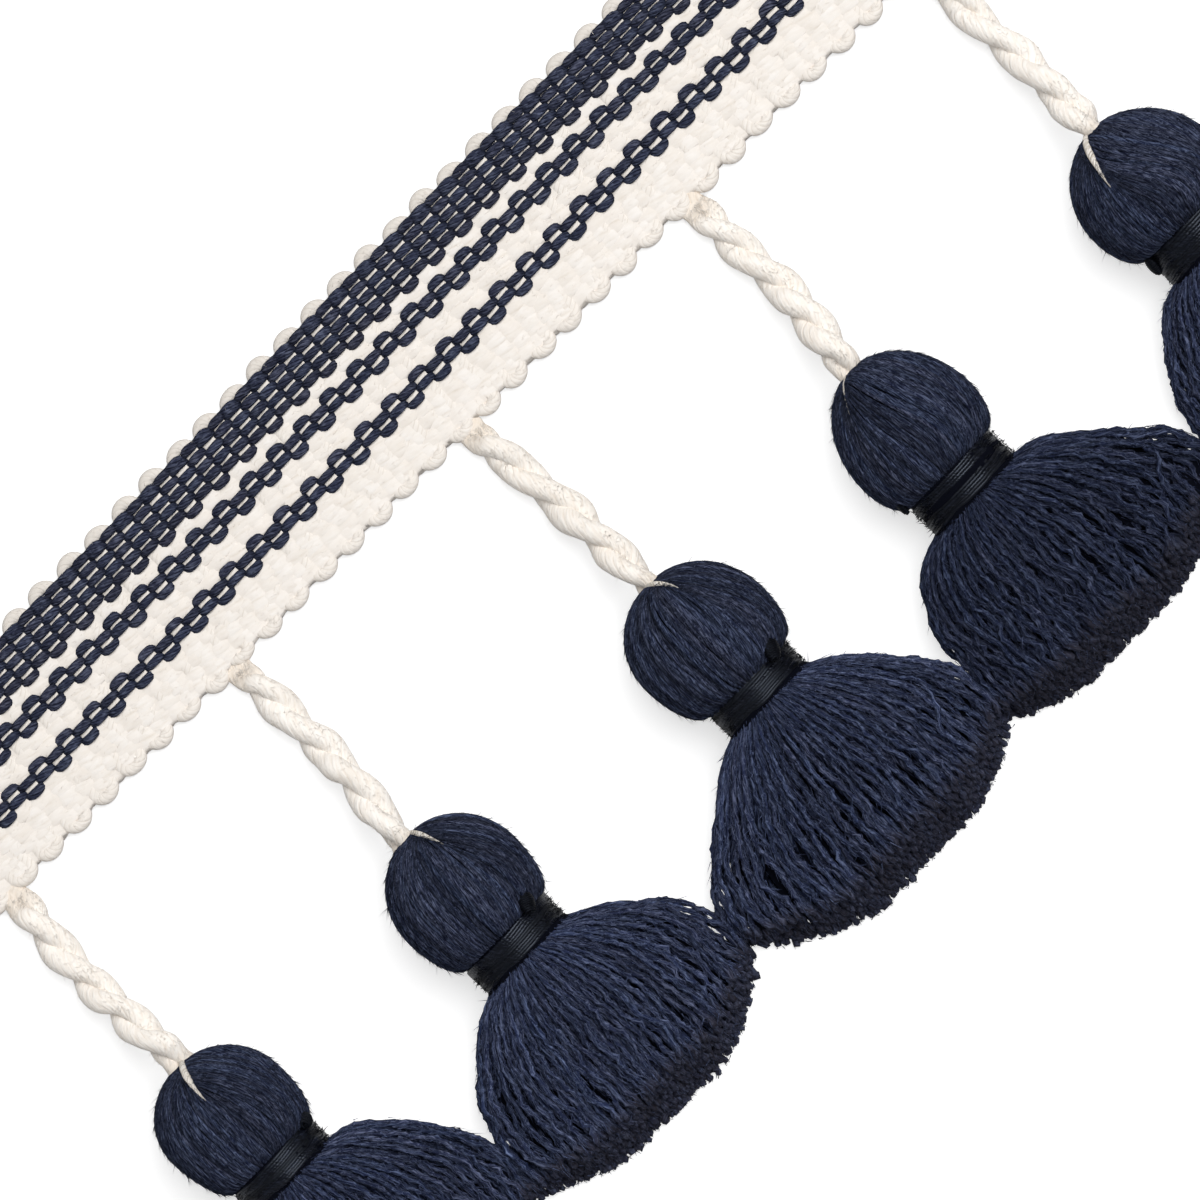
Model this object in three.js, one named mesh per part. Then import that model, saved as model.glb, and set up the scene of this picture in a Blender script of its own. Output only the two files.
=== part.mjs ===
// Tassel fringe trim: a woven band with scalloped edges, five twisted cotton hanger cords, and five
// yarn tassels, each with a wound thread binding at its neck. It lies flat with its back on z = 0.
//
// Millimetres, +Z up. The band runs along X and the tassels lie towards -Y. The origin is under the
// middle of the whole trim. "Drop" is the distance from the band's lower edge towards the tassel hems.

import * as THREE from 'three';

// Driving dimensions
const BAND_WIDTH = 25.4;
const TASSEL_DROP = 76.2;
const TASSEL_PITCH = 40;
const GAP = 0.3;
const BAND_LENGTH = 5 * TASSEL_PITCH;
const BAND_THICKNESS = 2.2;
const LOWER_EDGE_Y = (TASSEL_DROP - BAND_WIDTH) / 2;

// The turns of the weft yarn along both edges of the band. Those below lie between those above.
const UPPER_SCALLOPS = 42;
const LOWER_SCALLOPS = UPPER_SCALLOPS - 1;
const SCALLOP_PITCH = BAND_LENGTH / UPPER_SCALLOPS;
const SCALLOP_WIDTH = 4.1;
const SCALLOP_DEPTH = 1.4;
const SCALLOP_SEGMENTS = 4;

// Hanger cords: a shared side view, from the band's edge along the surface and up into the head
const CORD_DIAMETER = 3.8;
const CORD_SIDES = 8;
const CORD_STEPS = 10;
const CORD_ROUTE = [
  { along: 0.00, height: 1.8 },
  { along: 0.13, height: 1.8 },
  { along: 0.26, height: 1.9 },
  { along: 0.40, height: 2.4 },
  { along: 0.53, height: 3.5 },
  { along: 0.66, height: 5.1 },
  { along: 0.79, height: 6.8 },
  { along: 0.90, height: 7.9 },
  { along: 1.00, height: 8.4 },
];

// Tassels
const TASSEL_SEGMENTS = 26;
const HEAD_RINGS = 7;
const HEAD_CENTRE_HEIGHT = 8.4;
const HEAD_FLATTENING = 0.93;
const HEAD_ROUNDNESS = 2.25;
const HEAD_END_FRACTION = 0.72;
const NECK_CENTRE_HEIGHT = 7.6;
const NECK_FLATTENING = 0.92;
const BINDING_THICKNESS = 0.9;
const BINDING_SEGMENTS = 18;
const SKIRT_THICKNESS = 8.2;
const SKIRT_EDGE_HEIGHT = 2.4;
const TOP_LAG = 0.17;
const HEM_CAP_RADIUS = 0.5;

// The skirt from the neck to the hem: its thickness at each ring, as a share of that at the hem.
const SKIRT_RINGS = [
  { along: 0.00, thickness: 0.72 },
  { along: 0.06, thickness: 1.50 },
  { along: 0.14, thickness: 1.46 },
  { along: 0.30, thickness: 1.38 },
  { along: 0.50, thickness: 1.28 },
  { along: 0.70, thickness: 1.14 },
  { along: 0.88, thickness: 1.04 },
  { along: 1.00, thickness: 0.97 },
];

// One row for each tassel. x values are along the band; drops are from the band's lower edge.
//   rootX, poleX  where the cord leaves the band and where it enters the head
//   sway      how far the cord bows to +X on its way
//   headX, headWidth, headTop   middle, full width and highest drop of the head
//   fullest   where along the head it is widest
const HEADS = [
  { rootX: -78.9, poleX: -78.7, sway: -0.9, headX: -79.5, headWidth: 17.9, headTop: 28.3, fullest: 0.50 },
  { rootX: -39.8, poleX: -40.7, sway: 0.8, headX: -40.0, headWidth: 18.5, headTop: 28.5, fullest: 0.56 },
  { rootX: 0.9, poleX: 2.4, sway: 0.5, headX: 2.7, headWidth: 18.9, headTop: 28.0, fullest: 0.57 },
  { rootX: 39.4, poleX: 38.3, sway: 1.0, headX: 38.3, headWidth: 18.7, headTop: 27.4, fullest: 0.66 },
  { rootX: 80.0, poleX: 79.7, sway: 0.3, headX: 80.1, headWidth: 19.4, headTop: 27.8, fullest: 0.54 },
];

//   neckX, neckWidth   middle and full width of the neck over its binding
//   neckTop, neckEnd   drops of the binding's two ends
const NECKS = [
  { neckX: -79.1, neckWidth: 13.4, neckTop: 44.3, neckEnd: 47.8 },
  { neckX: -39.8, neckWidth: 13.7, neckTop: 45.4, neckEnd: 49.1 },
  { neckX: 2.8, neckWidth: 13.2, neckTop: 44.8, neckEnd: 48.4 },
  { neckX: 38.2, neckWidth: 14.1, neckTop: 44.6, neckEnd: 49.0 },
  { neckX: 80.0, neckWidth: 13.9, neckTop: 44.0, neckEnd: 48.4 },
];

//   left, right          x that the skirt reaches to each side
//   leftDome, rightDome  how soon it spreads: 1 is a straight cone, more is a rounder dome
//   leftLag, rightLag    how much shorter, as a share, it is at each side than in its middle
//   hem                  drop of the hem's middle
const SKIRTS = [
  { left: -99.6, right: -59.5, leftDome: 3.0, rightDome: 3.4, leftLag: 0.24, rightLag: 0.24, hem: 75.6 },
  { left: -59.1, right: -20.9, leftDome: 3.2, rightDome: 3.2, leftLag: 0.19, rightLag: 0.19, hem: 75.9 },
  { left: -20.5, right: 22.4, leftDome: 2.0, rightDome: 2.1, leftLag: 0.30, rightLag: 0.28, hem: 76.2 },
  { left: 22.8, right: 62.9, leftDome: 4.4, rightDome: 2.0, leftLag: 0.17, rightLag: 0.26, hem: 75.1 },
  { left: 63.3, right: 99.6, leftDome: 2.6, rightDome: 3.0, leftLag: 0.24, rightLag: 0.22, hem: 75.6 },
];

const TASSELS = HEADS.map((head, i) => ({ ...head, ...NECKS[i], ...SKIRTS[i] }));

const COTTON = new THREE.MeshStandardMaterial({ color: 0xece3d8, roughness: 0.95, metalness: 0 });
const YARN = new THREE.MeshStandardMaterial({ color: 0x2b3247, roughness: 0.95, metalness: 0 });
const THREAD = new THREE.MeshStandardMaterial({ color: 0x15161f, roughness: 0.5, metalness: 0 });

function named(name, geometry, material) {
  const mesh = new THREE.Mesh(geometry, material);
  mesh.name = name;
  return mesh;
}

// A row of half-ellipse scallops along one edge; direction +1 runs to +X on the lower edge.
function addScallops(outline, edgeY, count, direction) {
  const startAngle = direction > 0 ? Math.PI : 0;
  for (let i = 0; i < count; i += 1) {
    const x = direction * (i - (count - 1) / 2) * SCALLOP_PITCH;
    outline.absellipse(x, edgeY, SCALLOP_WIDTH / 2, SCALLOP_DEPTH, startAngle, startAngle + Math.PI);
  }
}

function makeBraid() {
  const lowerY = LOWER_EDGE_Y + SCALLOP_DEPTH;
  const upperY = LOWER_EDGE_Y + BAND_WIDTH - SCALLOP_DEPTH;
  const outline = new THREE.Shape();
  outline.moveTo(-BAND_LENGTH / 2, lowerY);
  addScallops(outline, lowerY, LOWER_SCALLOPS, 1);
  outline.lineTo(BAND_LENGTH / 2, lowerY);
  outline.lineTo(BAND_LENGTH / 2, upperY);
  addScallops(outline, upperY, UPPER_SCALLOPS, -1);
  outline.lineTo(-BAND_LENGTH / 2, upperY);
  outline.closePath();
  const options = { depth: BAND_THICKNESS, bevelEnabled: false, curveSegments: SCALLOP_SEGMENTS };
  return named('braid', new THREE.ExtrudeGeometry(outline, options), COTTON);
}

function makeCord(row, number) {
  const start = GAP;
  const end = row.headTop - GAP;
  const points = CORD_ROUTE.map(({ along, height }) => {
    const bow = row.sway * Math.sin(Math.PI * along);
    const x = THREE.MathUtils.lerp(row.rootX, row.poleX, along) + bow;
    return new THREE.Vector3(x, LOWER_EDGE_Y - THREE.MathUtils.lerp(start, end, along), height);
  });
  const section = new THREE.Shape();
  for (let i = 0; i < CORD_SIDES; i += 1) {
    const angle = ((i + 0.5) / CORD_SIDES) * 2 * Math.PI;
    const radius = CORD_DIAMETER / 2;
    const corner = [radius * Math.cos(angle), radius * Math.sin(angle)];
    if (i === 0) section.moveTo(...corner);
    else section.lineTo(...corner);
  }
  section.closePath();
  const extrudePath = new THREE.CatmullRomCurve3(points);
  const geometry = new THREE.ExtrudeGeometry(section, { steps: CORD_STEPS, extrudePath });
  return named(`hanger_cord_${number}`, geometry, COTTON);
}

// The head's half width at a share of the way down it, as a part of its widest.
function headProfile(share, fullest) {
  if (share < fullest) {
    const rest = 1 - share / fullest;
    return (1 - rest ** HEAD_ROUNDNESS) ** (1 / HEAD_ROUNDNESS);
  }
  const past = (share - fullest) / (1 - fullest);
  return HEAD_END_FRACTION + (1 - HEAD_END_FRACTION) * Math.sqrt(1 - past ** 2);
}

// How far a skirt spreads from the neck's half width to its own reach on one side.
function spreadAt(along, neckHalf, reach, dome) {
  return THREE.MathUtils.lerp(neckHalf, reach, 1 - (1 - along) ** dome);
}

// Rings of the tassel from its top to its hem. Each has a middle x, half widths to both sides, a
// middle height and a half height; its drop is `drop` for head and neck. In the skirt the strands are all
// one length, so `reach` is how far they have run and the sides and top of a ring lag behind.
function tasselRings(row) {
  const rings = [];
  const headHeight = row.neckTop - GAP - row.headTop;
  for (let i = 1; i <= HEAD_RINGS; i += 1) {
    const share = 1 - Math.cos((i / HEAD_RINGS) * Math.PI * 0.5) ** 1.15;
    const radius = (row.headWidth / 2) * headProfile(share, row.fullest);
    rings.push({
      x: THREE.MathUtils.lerp(row.headX, row.neckX, share),
      left: radius,
      right: radius,
      middle: THREE.MathUtils.lerp(HEAD_CENTRE_HEIGHT, NECK_CENTRE_HEIGHT, share ** 3),
      half: radius * HEAD_FLATTENING,
      drop: row.headTop + headHeight * share,
      reach: 0,
    });
  }
  const waist = row.neckWidth / 2 - BINDING_THICKNESS - GAP;
  const groove = [row.neckTop - GAP, row.neckEnd + GAP];
  for (const drop of groove) {
    rings.push({
      x: row.neckX, left: waist, right: waist, middle: NECK_CENTRE_HEIGHT,
      half: waist * NECK_FLATTENING, drop, reach: 0,
    });
  }
  const skirtTop = row.neckEnd + GAP;
  const neckHalf = row.neckWidth / 2;
  for (const ring of SKIRT_RINGS) {
    const thickness = SKIRT_THICKNESS * ring.thickness;
    const open = ring.along ** 0.6;
    const middle = THREE.MathUtils.lerp(NECK_CENTRE_HEIGHT - 0.6, SKIRT_EDGE_HEIGHT, open);
    rings.push({
      x: row.neckX,
      left: spreadAt(ring.along, neckHalf, row.neckX - row.left, row.leftDome),
      right: spreadAt(ring.along, neckHalf, row.right - row.neckX, row.rightDome),
      middle,
      half: ring.along === 0 ? neckHalf : thickness - middle,
      drop: skirtTop,
      reach: (row.hem - skirtTop) * ring.along,
    });
  }
  return rings;
}

// One closed solid through the rings: a lathe whose depth -i stands for ring i, moved onto the rings.
function makeTassel(row, number) {
  const rings = tasselRings(row);
  const hem = rings.length - 1;
  const profile = [new THREE.Vector2(0, -hem)];
  profile.push(new THREE.Vector2(HEM_CAP_RADIUS, -hem));
  for (let i = hem; i >= 0; i -= 1) profile.push(new THREE.Vector2(1, -i));
  profile.push(new THREE.Vector2(0, 1));
  const geometry = new THREE.LatheGeometry(profile, TASSEL_SEGMENTS);
  const position = geometry.getAttribute('position');
  for (let i = 0; i < position.count; i += 1) {
    const side = position.getX(i);
    const rise = position.getZ(i);
    const depth = -Math.round(position.getY(i));
    const ring = rings[Math.max(depth, 0)];
    const drop = depth < 0 ? row.headTop : ring.drop;
    const spread = side < 0 ? ring.left : ring.right;
    const z = Math.max(0, ring.middle + rise * ring.half);
    const sideLag = side < 0 ? row.leftLag : row.rightLag;
    const lag = sideLag * side ** 2 + TOP_LAG * Math.min(z / SKIRT_THICKNESS, 1);
    const y = LOWER_EDGE_Y - drop - ring.reach * (1 - lag);
    position.setXYZ(i, ring.x + side * spread, y, z);
  }
  return named(`tassel_${number}`, geometry, YARN);
}

function makeBinding(row, number) {
  const outer = row.neckWidth / 2;
  const inner = outer - BINDING_THICKNESS;
  const round = BINDING_THICKNESS / 2;
  const top = LOWER_EDGE_Y - row.neckTop;
  const end = LOWER_EDGE_Y - row.neckEnd;
  const profile = [
    [inner, end], [outer - round, end], [outer, end + round],
    [outer, top - round], [outer - round, top], [inner, top], [inner, end],
  ].map(([radius, y]) => new THREE.Vector2(radius, y));
  const geometry = new THREE.LatheGeometry(profile, BINDING_SEGMENTS);
  geometry.scale(1, 1, NECK_FLATTENING);
  geometry.translate(row.neckX, 0, NECK_CENTRE_HEIGHT);
  return named(`neck_binding_${number}`, geometry, THREAD);
}

const trim = new THREE.Group();
trim.add(makeBraid());
TASSELS.forEach((row, i) => {
  trim.add(makeCord(row, i + 1), makeTassel(row, i + 1), makeBinding(row, i + 1));
});

export default trim;
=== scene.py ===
"""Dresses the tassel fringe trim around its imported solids.

A warp-faced woven band in navy and cream, with the turns of its weft showing as scallops along both
edges; two-ply cream cords that hang from its lower edge; and navy yarn tassels, each with a head
parted over its cord, a wound thread binding and a skirt of cut two-ply yarns.

Lengths here are millimetres, and become metres as a mesh is made. "Drop" is the distance from the
band's lower edge towards the hems.
"""
import math

import bpy
import numpy as np
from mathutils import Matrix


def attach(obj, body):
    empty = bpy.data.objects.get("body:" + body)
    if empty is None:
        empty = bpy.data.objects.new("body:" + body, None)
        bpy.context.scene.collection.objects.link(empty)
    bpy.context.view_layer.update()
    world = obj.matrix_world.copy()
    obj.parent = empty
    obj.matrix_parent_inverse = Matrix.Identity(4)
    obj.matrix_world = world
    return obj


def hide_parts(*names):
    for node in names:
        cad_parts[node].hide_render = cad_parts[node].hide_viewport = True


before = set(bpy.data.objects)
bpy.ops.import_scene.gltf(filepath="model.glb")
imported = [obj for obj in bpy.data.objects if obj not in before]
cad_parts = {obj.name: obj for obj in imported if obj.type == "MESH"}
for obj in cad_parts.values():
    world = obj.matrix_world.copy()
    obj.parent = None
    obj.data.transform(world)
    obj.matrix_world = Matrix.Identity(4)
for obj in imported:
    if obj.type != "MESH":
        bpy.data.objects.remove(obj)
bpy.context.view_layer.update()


def table(columns, *rows):
    """Rows of values under named columns."""
    names = columns.split()
    return [dict(zip(names, row)) for row in rows]


MM = 0.001
BODY = "root"
SEED = 27
UP = np.array([0.0, 0.0, 1.0])

# SURFACE is the least height of anything, and GAP the clearance between one part and the next.
SURFACE = 0.02
GAP = 0.3

# ---------------------------------------------------------------- driving dimensions

# The woven band. Weft passes cross it; warps run along it and float over every other pass.
BAND_LENGTH = 200.0
BAND_TOP_Y = 50.8
LOWER_EDGE_Y = 25.4
BAND_MIDDLE_HEIGHT = 1.1
WEFT_PASSES = 84
WEFT_PITCH = BAND_LENGTH / WEFT_PASSES
WEFT_HALF_WIDTH = 1.00
WEFT_HALF_THICKNESS = 0.38
WEFT_PASS_POINTS = 6
WEFT_HAIRS = 1800
WEFT_FUZZ = {"length": 0.7, "radius": 0.022, "splay": 0.6, "shades": (0.2, 1.0), "height": 0.9}
TURN_HALF_WIDTH = 0.84
TURN_HALF_THICKNESS = 0.74
TURN_REACH = 1.0
TURN_POINTS = 15
WARP_RISE = {"navy": 0.77, "cream": 0.12}
WARP_HALF_THICKNESS = 0.33
WARP_HALF_WIDTHS = {"navy": (0.48, 0.59), "cream": (1.05, 1.30)}
WARP_STAGGER = {"navy": 0.0, "cream": 1.1}
WARP_STEPS = 4
WARP_HAIRS = {"navy": 6000, "cream": 4000}
WARP_FUZZ = {"length": 0.9, "radius": 0.022, "splay": 0.22, "shades": (0.0, 1.0), "height": 0.9}

# The band isn't quite even: how far its middle and its upper edge wander to +Y along it.
BAND_DRIFT = table(
    "x middle top",
    (-100.0, 0.00, -0.10),
    (-35.0, -0.05, -0.10),
    (0.0, 0.42, 0.35),
    (35.0, 1.05, 0.05),
    (65.0, 1.20, -0.35),
    (100.0, 1.20, -0.40),
)

# Warps from the upper edge down. Each row is a run of warps at one spacing.
#   first    distance of its first warp below the tops of the scallops
#   pitch    distance between its warps
#   upper_bow, lower_bow   how far its outer warps bow outwards where they float
WARP_RUNS = table(
    "yarn first count pitch upper_bow lower_bow",
    ("navy", 1.94, 2, 0.04, 0.0, 0.0),
    ("navy", 2.50, 2, 0.82, 0.0, 0.0),
    ("navy", 4.04, 6, 0.71, 0.0, 0.14),
    ("cream", 8.28, 2, 0.74, 0.0, 0.0),
    ("navy", 9.80, 4, 0.72, 0.14, 0.14),
    ("cream", 12.72, 4, 0.73, 0.0, 0.0),
    ("navy", 15.66, 4, 0.72, 0.14, 0.14),
    ("cream", 18.56, 8, 0.64, 0.0, 0.0),
    ("cream", 23.08, 1, 0.0, 0.0, 0.0),
)

# Hanger cords: a shared side view from the band's edge along the surface and up into the head.
CORD_ROUTE = table(
    "along height",
    (0.00, 1.1),
    (0.13, 1.6),
    (0.26, 1.9),
    (0.40, 2.4),
    (0.53, 3.5),
    (0.66, 5.1),
    (0.79, 6.8),
    (0.90, 7.9),
    (1.00, 8.4),
)
CORD_TUCK = 2.6
CORD_ENTRY = 1.4
CORD_RINGS = 90
CORD_HAIRS = 1300
CORD_FUZZ = {"length": 0.9, "radius": 0.03, "splay": 0.8, "shades": (0.0, 1.0), "height": 1.0}

# Where they leave the band, the two plies of a cord lie open, flat and side by side. PLY_OPEN says
# from where to where along it they close up, PLY_LAY_START where they begin to go round each other,
# and PLY_CLOSE between which distances from its end it narrows. PLY_FULLNESS is a share of
# PLY_RADIUS, and PLY_SPACING a ply's distance from the cord's middle at a fullness of 1.
PLY_RADIUS = 1.11
PLY_OPEN = (2.6, 6.0)
PLY_CLOSE = (4.0, 1.0)
PLY_LAY_START = 4
PLY_FULLNESS = {"laid": 1.27, "open": 1.15, "end": 0.76}
PLY_SPACING = {"laid": 0.80, "open": 0.46}
PLY_OPEN_FLATNESS = 0.45
PLY_OPEN_LIFT = 0.05
PLY_LUMPS = 0.18
PLY_WANDER = 0.25

#   rootX, poleX  where the cord leaves the band and where it enters the head
#   sway          how far the cord bows to +X on its way
#   half_turn     length of cord in which one ply passes over the other
#   phase         where in that turn it starts, in degrees
CORDS = table(
    "rootX poleX sway half_turn phase",
    (-78.9, -78.7, -0.9, 7.2, 20),
    (-39.8, -40.7, 0.8, 8.6, 75),
    (0.9, 2.4, 0.5, 8.6, 70),
    (39.4, 38.3, 1.0, 7.0, 10),
    (80.0, 79.7, 0.3, 8.6, 50),
)

# Tassel heads. A head's outward ways are taken from HEAD_SHELL below its surface, and its yarns
# are combed up to COMB_SPAN degrees round from the parting.
HEAD_CENTRE_HEIGHT = 8.4
HEAD_FLATTENING = 0.93
HEAD_END_FRACTION = 0.72
HEAD_LEAST_HEIGHT = 0.32
HEAD_SHELL = 2.0
HEAD_UPPER_RINGS = 12
HEAD_LOWER_SHARES = np.array([0.12, 0.26, 0.42, 0.58, 0.74, 0.88, 0.98, 1.0])
HEAD_YARNS = 96
HEAD_HAIRS = 2500
HEAD_SPLAYS = (0.18, 0.18, 0.18, 0.4)
HEAD_YARN_OVERLAP = 1.22
HEAD_YARN_HALF_WIDTHS = (0.10, 0.46)
HEAD_YARN_HALF_THICKNESSES = (0.14, 0.34)
HEAD_YARN_SINK = (0.35, 1.25)
PARTING_SLANT = 0.45
COMB_SPAN = 105

#   top, fullest       drop of the head's top, and where along the head it is widest
#   bluntness          how square its top is: 2 is round
#   parting            turn of the parting about the head's own line, in degrees to +X
#   comb               how far the yarns on its +X side are combed away from it, in degrees
#   thread, thread_wide   length and width of the end of cord that lies in the parting
#   thread_from        where that end starts, to +X of the head's own line
HEADS = table(
    "x width top fullest bluntness parting comb thread thread_wide thread_from",
    (-79.5, 17.4, 28.4, 0.51, 2.00, 1, 24, 0.94, 0.48, 0.9),
    (-39.8, 18.1, 28.7, 0.56, 2.00, 20, 32, 0.81, 0.38, 0.3),
    (2.3, 18.7, 28.2, 0.57, 2.06, 19, 30, 0.72, 0.40, -0.3),
    (38.3, 18.2, 27.5, 0.67, 1.98, -38, 20, 0.74, 0.13, 0.0),
    (79.5, 18.9, 28.1, 0.64, 1.98, -26, 38, 0.93, 0.48, -0.5),
)

# Necks and the thread wound round them. THREAD_PITCH is the least distance between two turns,
# TURN_STAND how far the palest turns stand out from the darkest, and THREAD_WANDER how far turns
# stray along the neck (Z) and out from it (X and Y).
NECK_CENTRE_HEIGHT = 7.6
NECK_FLATTENING = 0.92
NECK_WAIST = 1.2
THREAD_RADIUS = 0.30
THREAD_PITCH = 0.32
THREAD_STEPS = 44
THREAD_CORNERS = 6
THREAD_WANDER = {"Z": 1.2, "X": 0.5, "Y": 0.5}
THREAD_WANDER_SIZE = 4.5
TURN_STAND = 0.34
SECOND_BAND_INSET = 0.15
BINDING_HAIRS = 320
BINDING_FUZZ_INSET = 0.12
KNOT_THREAD_RADIUS = 0.17
KNOT_TURN_SPACING = 1.5
KNOT_FLATTENING = 0.7
KNOT_POINTS = 150

#   top, end   drops of the binding's two ends
#   bands      how many bands of thread it is wound in
NECKS = table(
    "x width top end bands",
    (-79.1, 13.4, 44.3, 47.8, 1),
    (-39.8, 13.7, 45.4, 49.1, 1),
    (2.8, 13.2, 44.8, 48.4, 1),
    (38.2, 14.1, 44.6, 49.0, 2),
    (80.0, 13.9, 44.0, 48.4, 1),
)

# Knots and tucked ends on the bindings: the place round the neck in degrees from +X towards the top,
# drop, length, width, lean from the head's line in degrees, and how far it stands off the neck.
KNOTS = table(
    "tassel around drop long wide lean raise",
    (1, 28, 43.9, 2.4, 2.0, 75, 0.2),
    (2, 54, 44.5, 2.8, 2.3, 30, 0.8),
    (3, 53, 44.0, 3.3, 2.5, 25, 0.9),
    (4, 160, 43.4, 2.4, 1.4, 10, 0.7),
    (5, 168, 44.8, 2.6, 1.8, 20, 0.0),
)

# Skirts. A lock is a group of yarns that lean together. SKIRT_ZONES are the lengths, across the
# skirt, of two waves of paler and darker yarns.
SHOULDER = 0.5
SHOULDER_LIFT = 0.2
SKIRT_THICKNESS = 8.2
SKIRT_EDGE_HEIGHT = 2.4
TOP_LAG = 0.17
SKIRT_YARNS = 380
SKIRT_LEVELS = 30
SKIRT_LOCKS = 17
SKIRT_ZONES = (10.3, 5.7)
SKIRT_HAIRS = 6500
SKIRT_SPLAYS = (0.14, 0.14, 0.14, 0.45)
SETTLE_ROUNDS = 10
GOLDEN_ANGLE = 2.39996
YARN_RADIUS = 0.42
YARN_LEAST_HEIGHT = 0.45

# A yarn's twist, and how much fuller than its packed radius it is along its length and at its cut
# end, which starts to open CUT_START before the end and is open CUT_FULL before it.
YARN_TURN = (4.8, 6.4)
YARN_SWELL = 1.12
CUT_SWELL = (1.15, 1.6)
CUT_START = 2.6
CUT_FULL = 0.4
CRIMP_WAVE = (4.0, 8.0)
CRIMP_SWAY = 0.14
CRIMP_KINK = 0.135
SHOWN_DEPTH = 1.35
UNDERSIDE_HEIGHT = 1.2
HEM_TUFT = 5
FRAY = 0.35

# How thick the skirt is from the neck to the hem, as a share of SKIRT_THICKNESS.
SKIRT_PROFILE = table(
    "along thickness",
    (0.00, 1.52),
    (0.06, 1.50),
    (0.14, 1.46),
    (0.30, 1.38),
    (0.50, 1.28),
    (0.70, 1.14),
    (0.88, 1.04),
    (1.00, 0.97),
)

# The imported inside: shares down the head and along the skirt at which it has a section, how far it
# stays inside the yarns there, and the share of the skirt's length at which it would run out.
CORE_HEAD_SHARES = (0.06, 0.18, 0.34, 0.52, 0.70, 0.86, 0.97)
CORE_SKIRT_SHARES = (0.04, 0.12, 0.24, 0.38, 0.52, 0.65, 0.76)
CORE_HEAD_INSET = 0.55
CORE_NECK_INSET = 0.35
CORE_SKIRT_INSET = {"side": 0.9, "top": 2.4, "bottom": 1.2}
CORE_LEAST_HEIGHT = {"head": 0.5, "skirt": 0.8}
CORE_END = 0.92

#   left, right            x that the skirt reaches to each side
#   left_dome, right_dome  how soon it spreads: 1 is a straight cone, more is a rounder dome
#   left_lag, right_lag    how much shorter, as a share, it is at each side than in its middle
#   left_lift, right_lift  how far its shoulders bulge up towards the head
#   hem                    drop of the hem's middle
#   unruly                 how far its yarns wander
#   dark                   how much darker its yarns are than the others', as a share
SKIRTS = table(
    "left right left_dome right_dome left_lag right_lag left_lift right_lift hem unruly dark",
    (-99.6, -58.4, 3.00, 2.90, 0.24, 0.16, 0.2, 1.4, 75.7, 1.00, 0.00),
    (-60.0, -20.0, 2.85, 3.00, 0.16, 0.24, 0.2, 0.0, 75.9, 1.00, -0.25),
    (-21.5, 23.3, 2.20, 2.35, 0.32, 0.21, 0.4, 0.0, 76.5, 0.90, 0.00),
    (21.9, 63.4, 4.90, 2.30, 0.14, 0.27, 0.7, 1.4, 75.3, 1.15, 0.60),
    (62.5, 99.6, 3.10, 3.00, 0.25, 0.22, 0.9, 0.2, 75.6, 1.10, 0.00),
)

# The studio, in metres, watts and degrees. VIEW_WIDTH is what the camera sees across, at
# VIEW_HEIGHT_ABOVE_SURFACE.
FLOOR_RADIUS = 2.0
RIM_RADIUS = 0.8
RIM_STEP = 15
FLOOR_GREY = 0.62
FLOOR_GLOW = 0.62
SKY_STRENGTH = 0.30
SOFTBOX_SIZE = 1.2
SOFTBOX_POWER = 23.5
SOFTBOX_PLACE = (0.50, 0.30, 1.45)
SOFTBOX_TILT = (-11.7, 19)
CAMERA_LENS = 260
CAMERA_PLACE = (-0.0029, 0.0001)
CAMERA_TURN = -45.57
VIEW_WIDTH = 0.1463
VIEW_HEIGHT_ABOVE_SURFACE = 0.004

# ---------------------------------------------------------------- small helpers


def lerp(a, b, share):
    """The value a share of the way from a to b."""
    return a + (b - a) * share


def smoothstep(low, high, value):
    """0 up to `low`, 1 from `high`, and eased in between."""
    share = np.clip((value - low) / (high - low), 0, 1)
    return share * share * (3 - 2 * share)


def unit(vectors):
    return vectors / np.maximum(np.linalg.norm(vectors, axis=-1, keepdims=True), 1e-9)


def column(rows, name):
    return np.array([row[name] for row in rows], float)


def follow(rows, at, name, place):
    """A table's column as a curve over its column `at`, read at a place."""
    return np.interp(place, column(rows, at), column(rows, name))


def run_along(paths):
    """The distance along each path to every ring."""
    run = np.cumsum(np.linalg.norm(np.diff(paths, axis=-2), axis=-1), axis=-1)
    return np.concatenate([np.zeros(run.shape[:-1] + (1,)), run], axis=-1)


def smooth_along(values, reach):
    """Rows of values, each smoothed over a reach along its row."""
    kernel = np.hanning(reach + 2)[1:-1]
    kernel /= kernel.sum()
    padded = np.pad(values, ((0, 0), (reach // 2, reach - 1 - reach // 2)), mode="edge")
    return np.array([np.convolve(row, kernel, mode="valid") for row in padded])


def resample(paths, count, crowd=1.0):
    """The same paths with `count` rings, rounded through their rings; crowd > 1 packs their ends."""
    old = np.arange(paths.shape[-2])
    new = old[-1] * (1 - (1 - np.linspace(0, 1, count)) ** crowd)
    left = np.minimum(new.astype(int), old[-1] - 1)
    share = (new - left)[:, None]
    slope = np.gradient(paths, axis=-2)
    a, b = paths[..., left, :], paths[..., left + 1, :]
    da, db = slope[..., left, :], slope[..., left + 1, :]
    square, cube = share**2, share**3
    return (
        a * (2 * cube - 3 * square + 1) + da * (cube - 2 * square + share)
        + b * (3 * square - 2 * cube) + db * (cube - square)
    )


def edit_all():
    """Opens the active piece for editing with all of it selected."""
    bpy.ops.object.mode_set(mode="EDIT")
    bpy.ops.mesh.select_all(action="SELECT")


def close_edit(inside=False):
    """Turns every face to one side and leaves edit mode."""
    bpy.ops.mesh.select_all(action="SELECT")
    bpy.ops.mesh.normals_make_consistent(inside=inside)
    bpy.ops.object.mode_set(mode="OBJECT")
    bpy.ops.object.shade_smooth()


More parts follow.
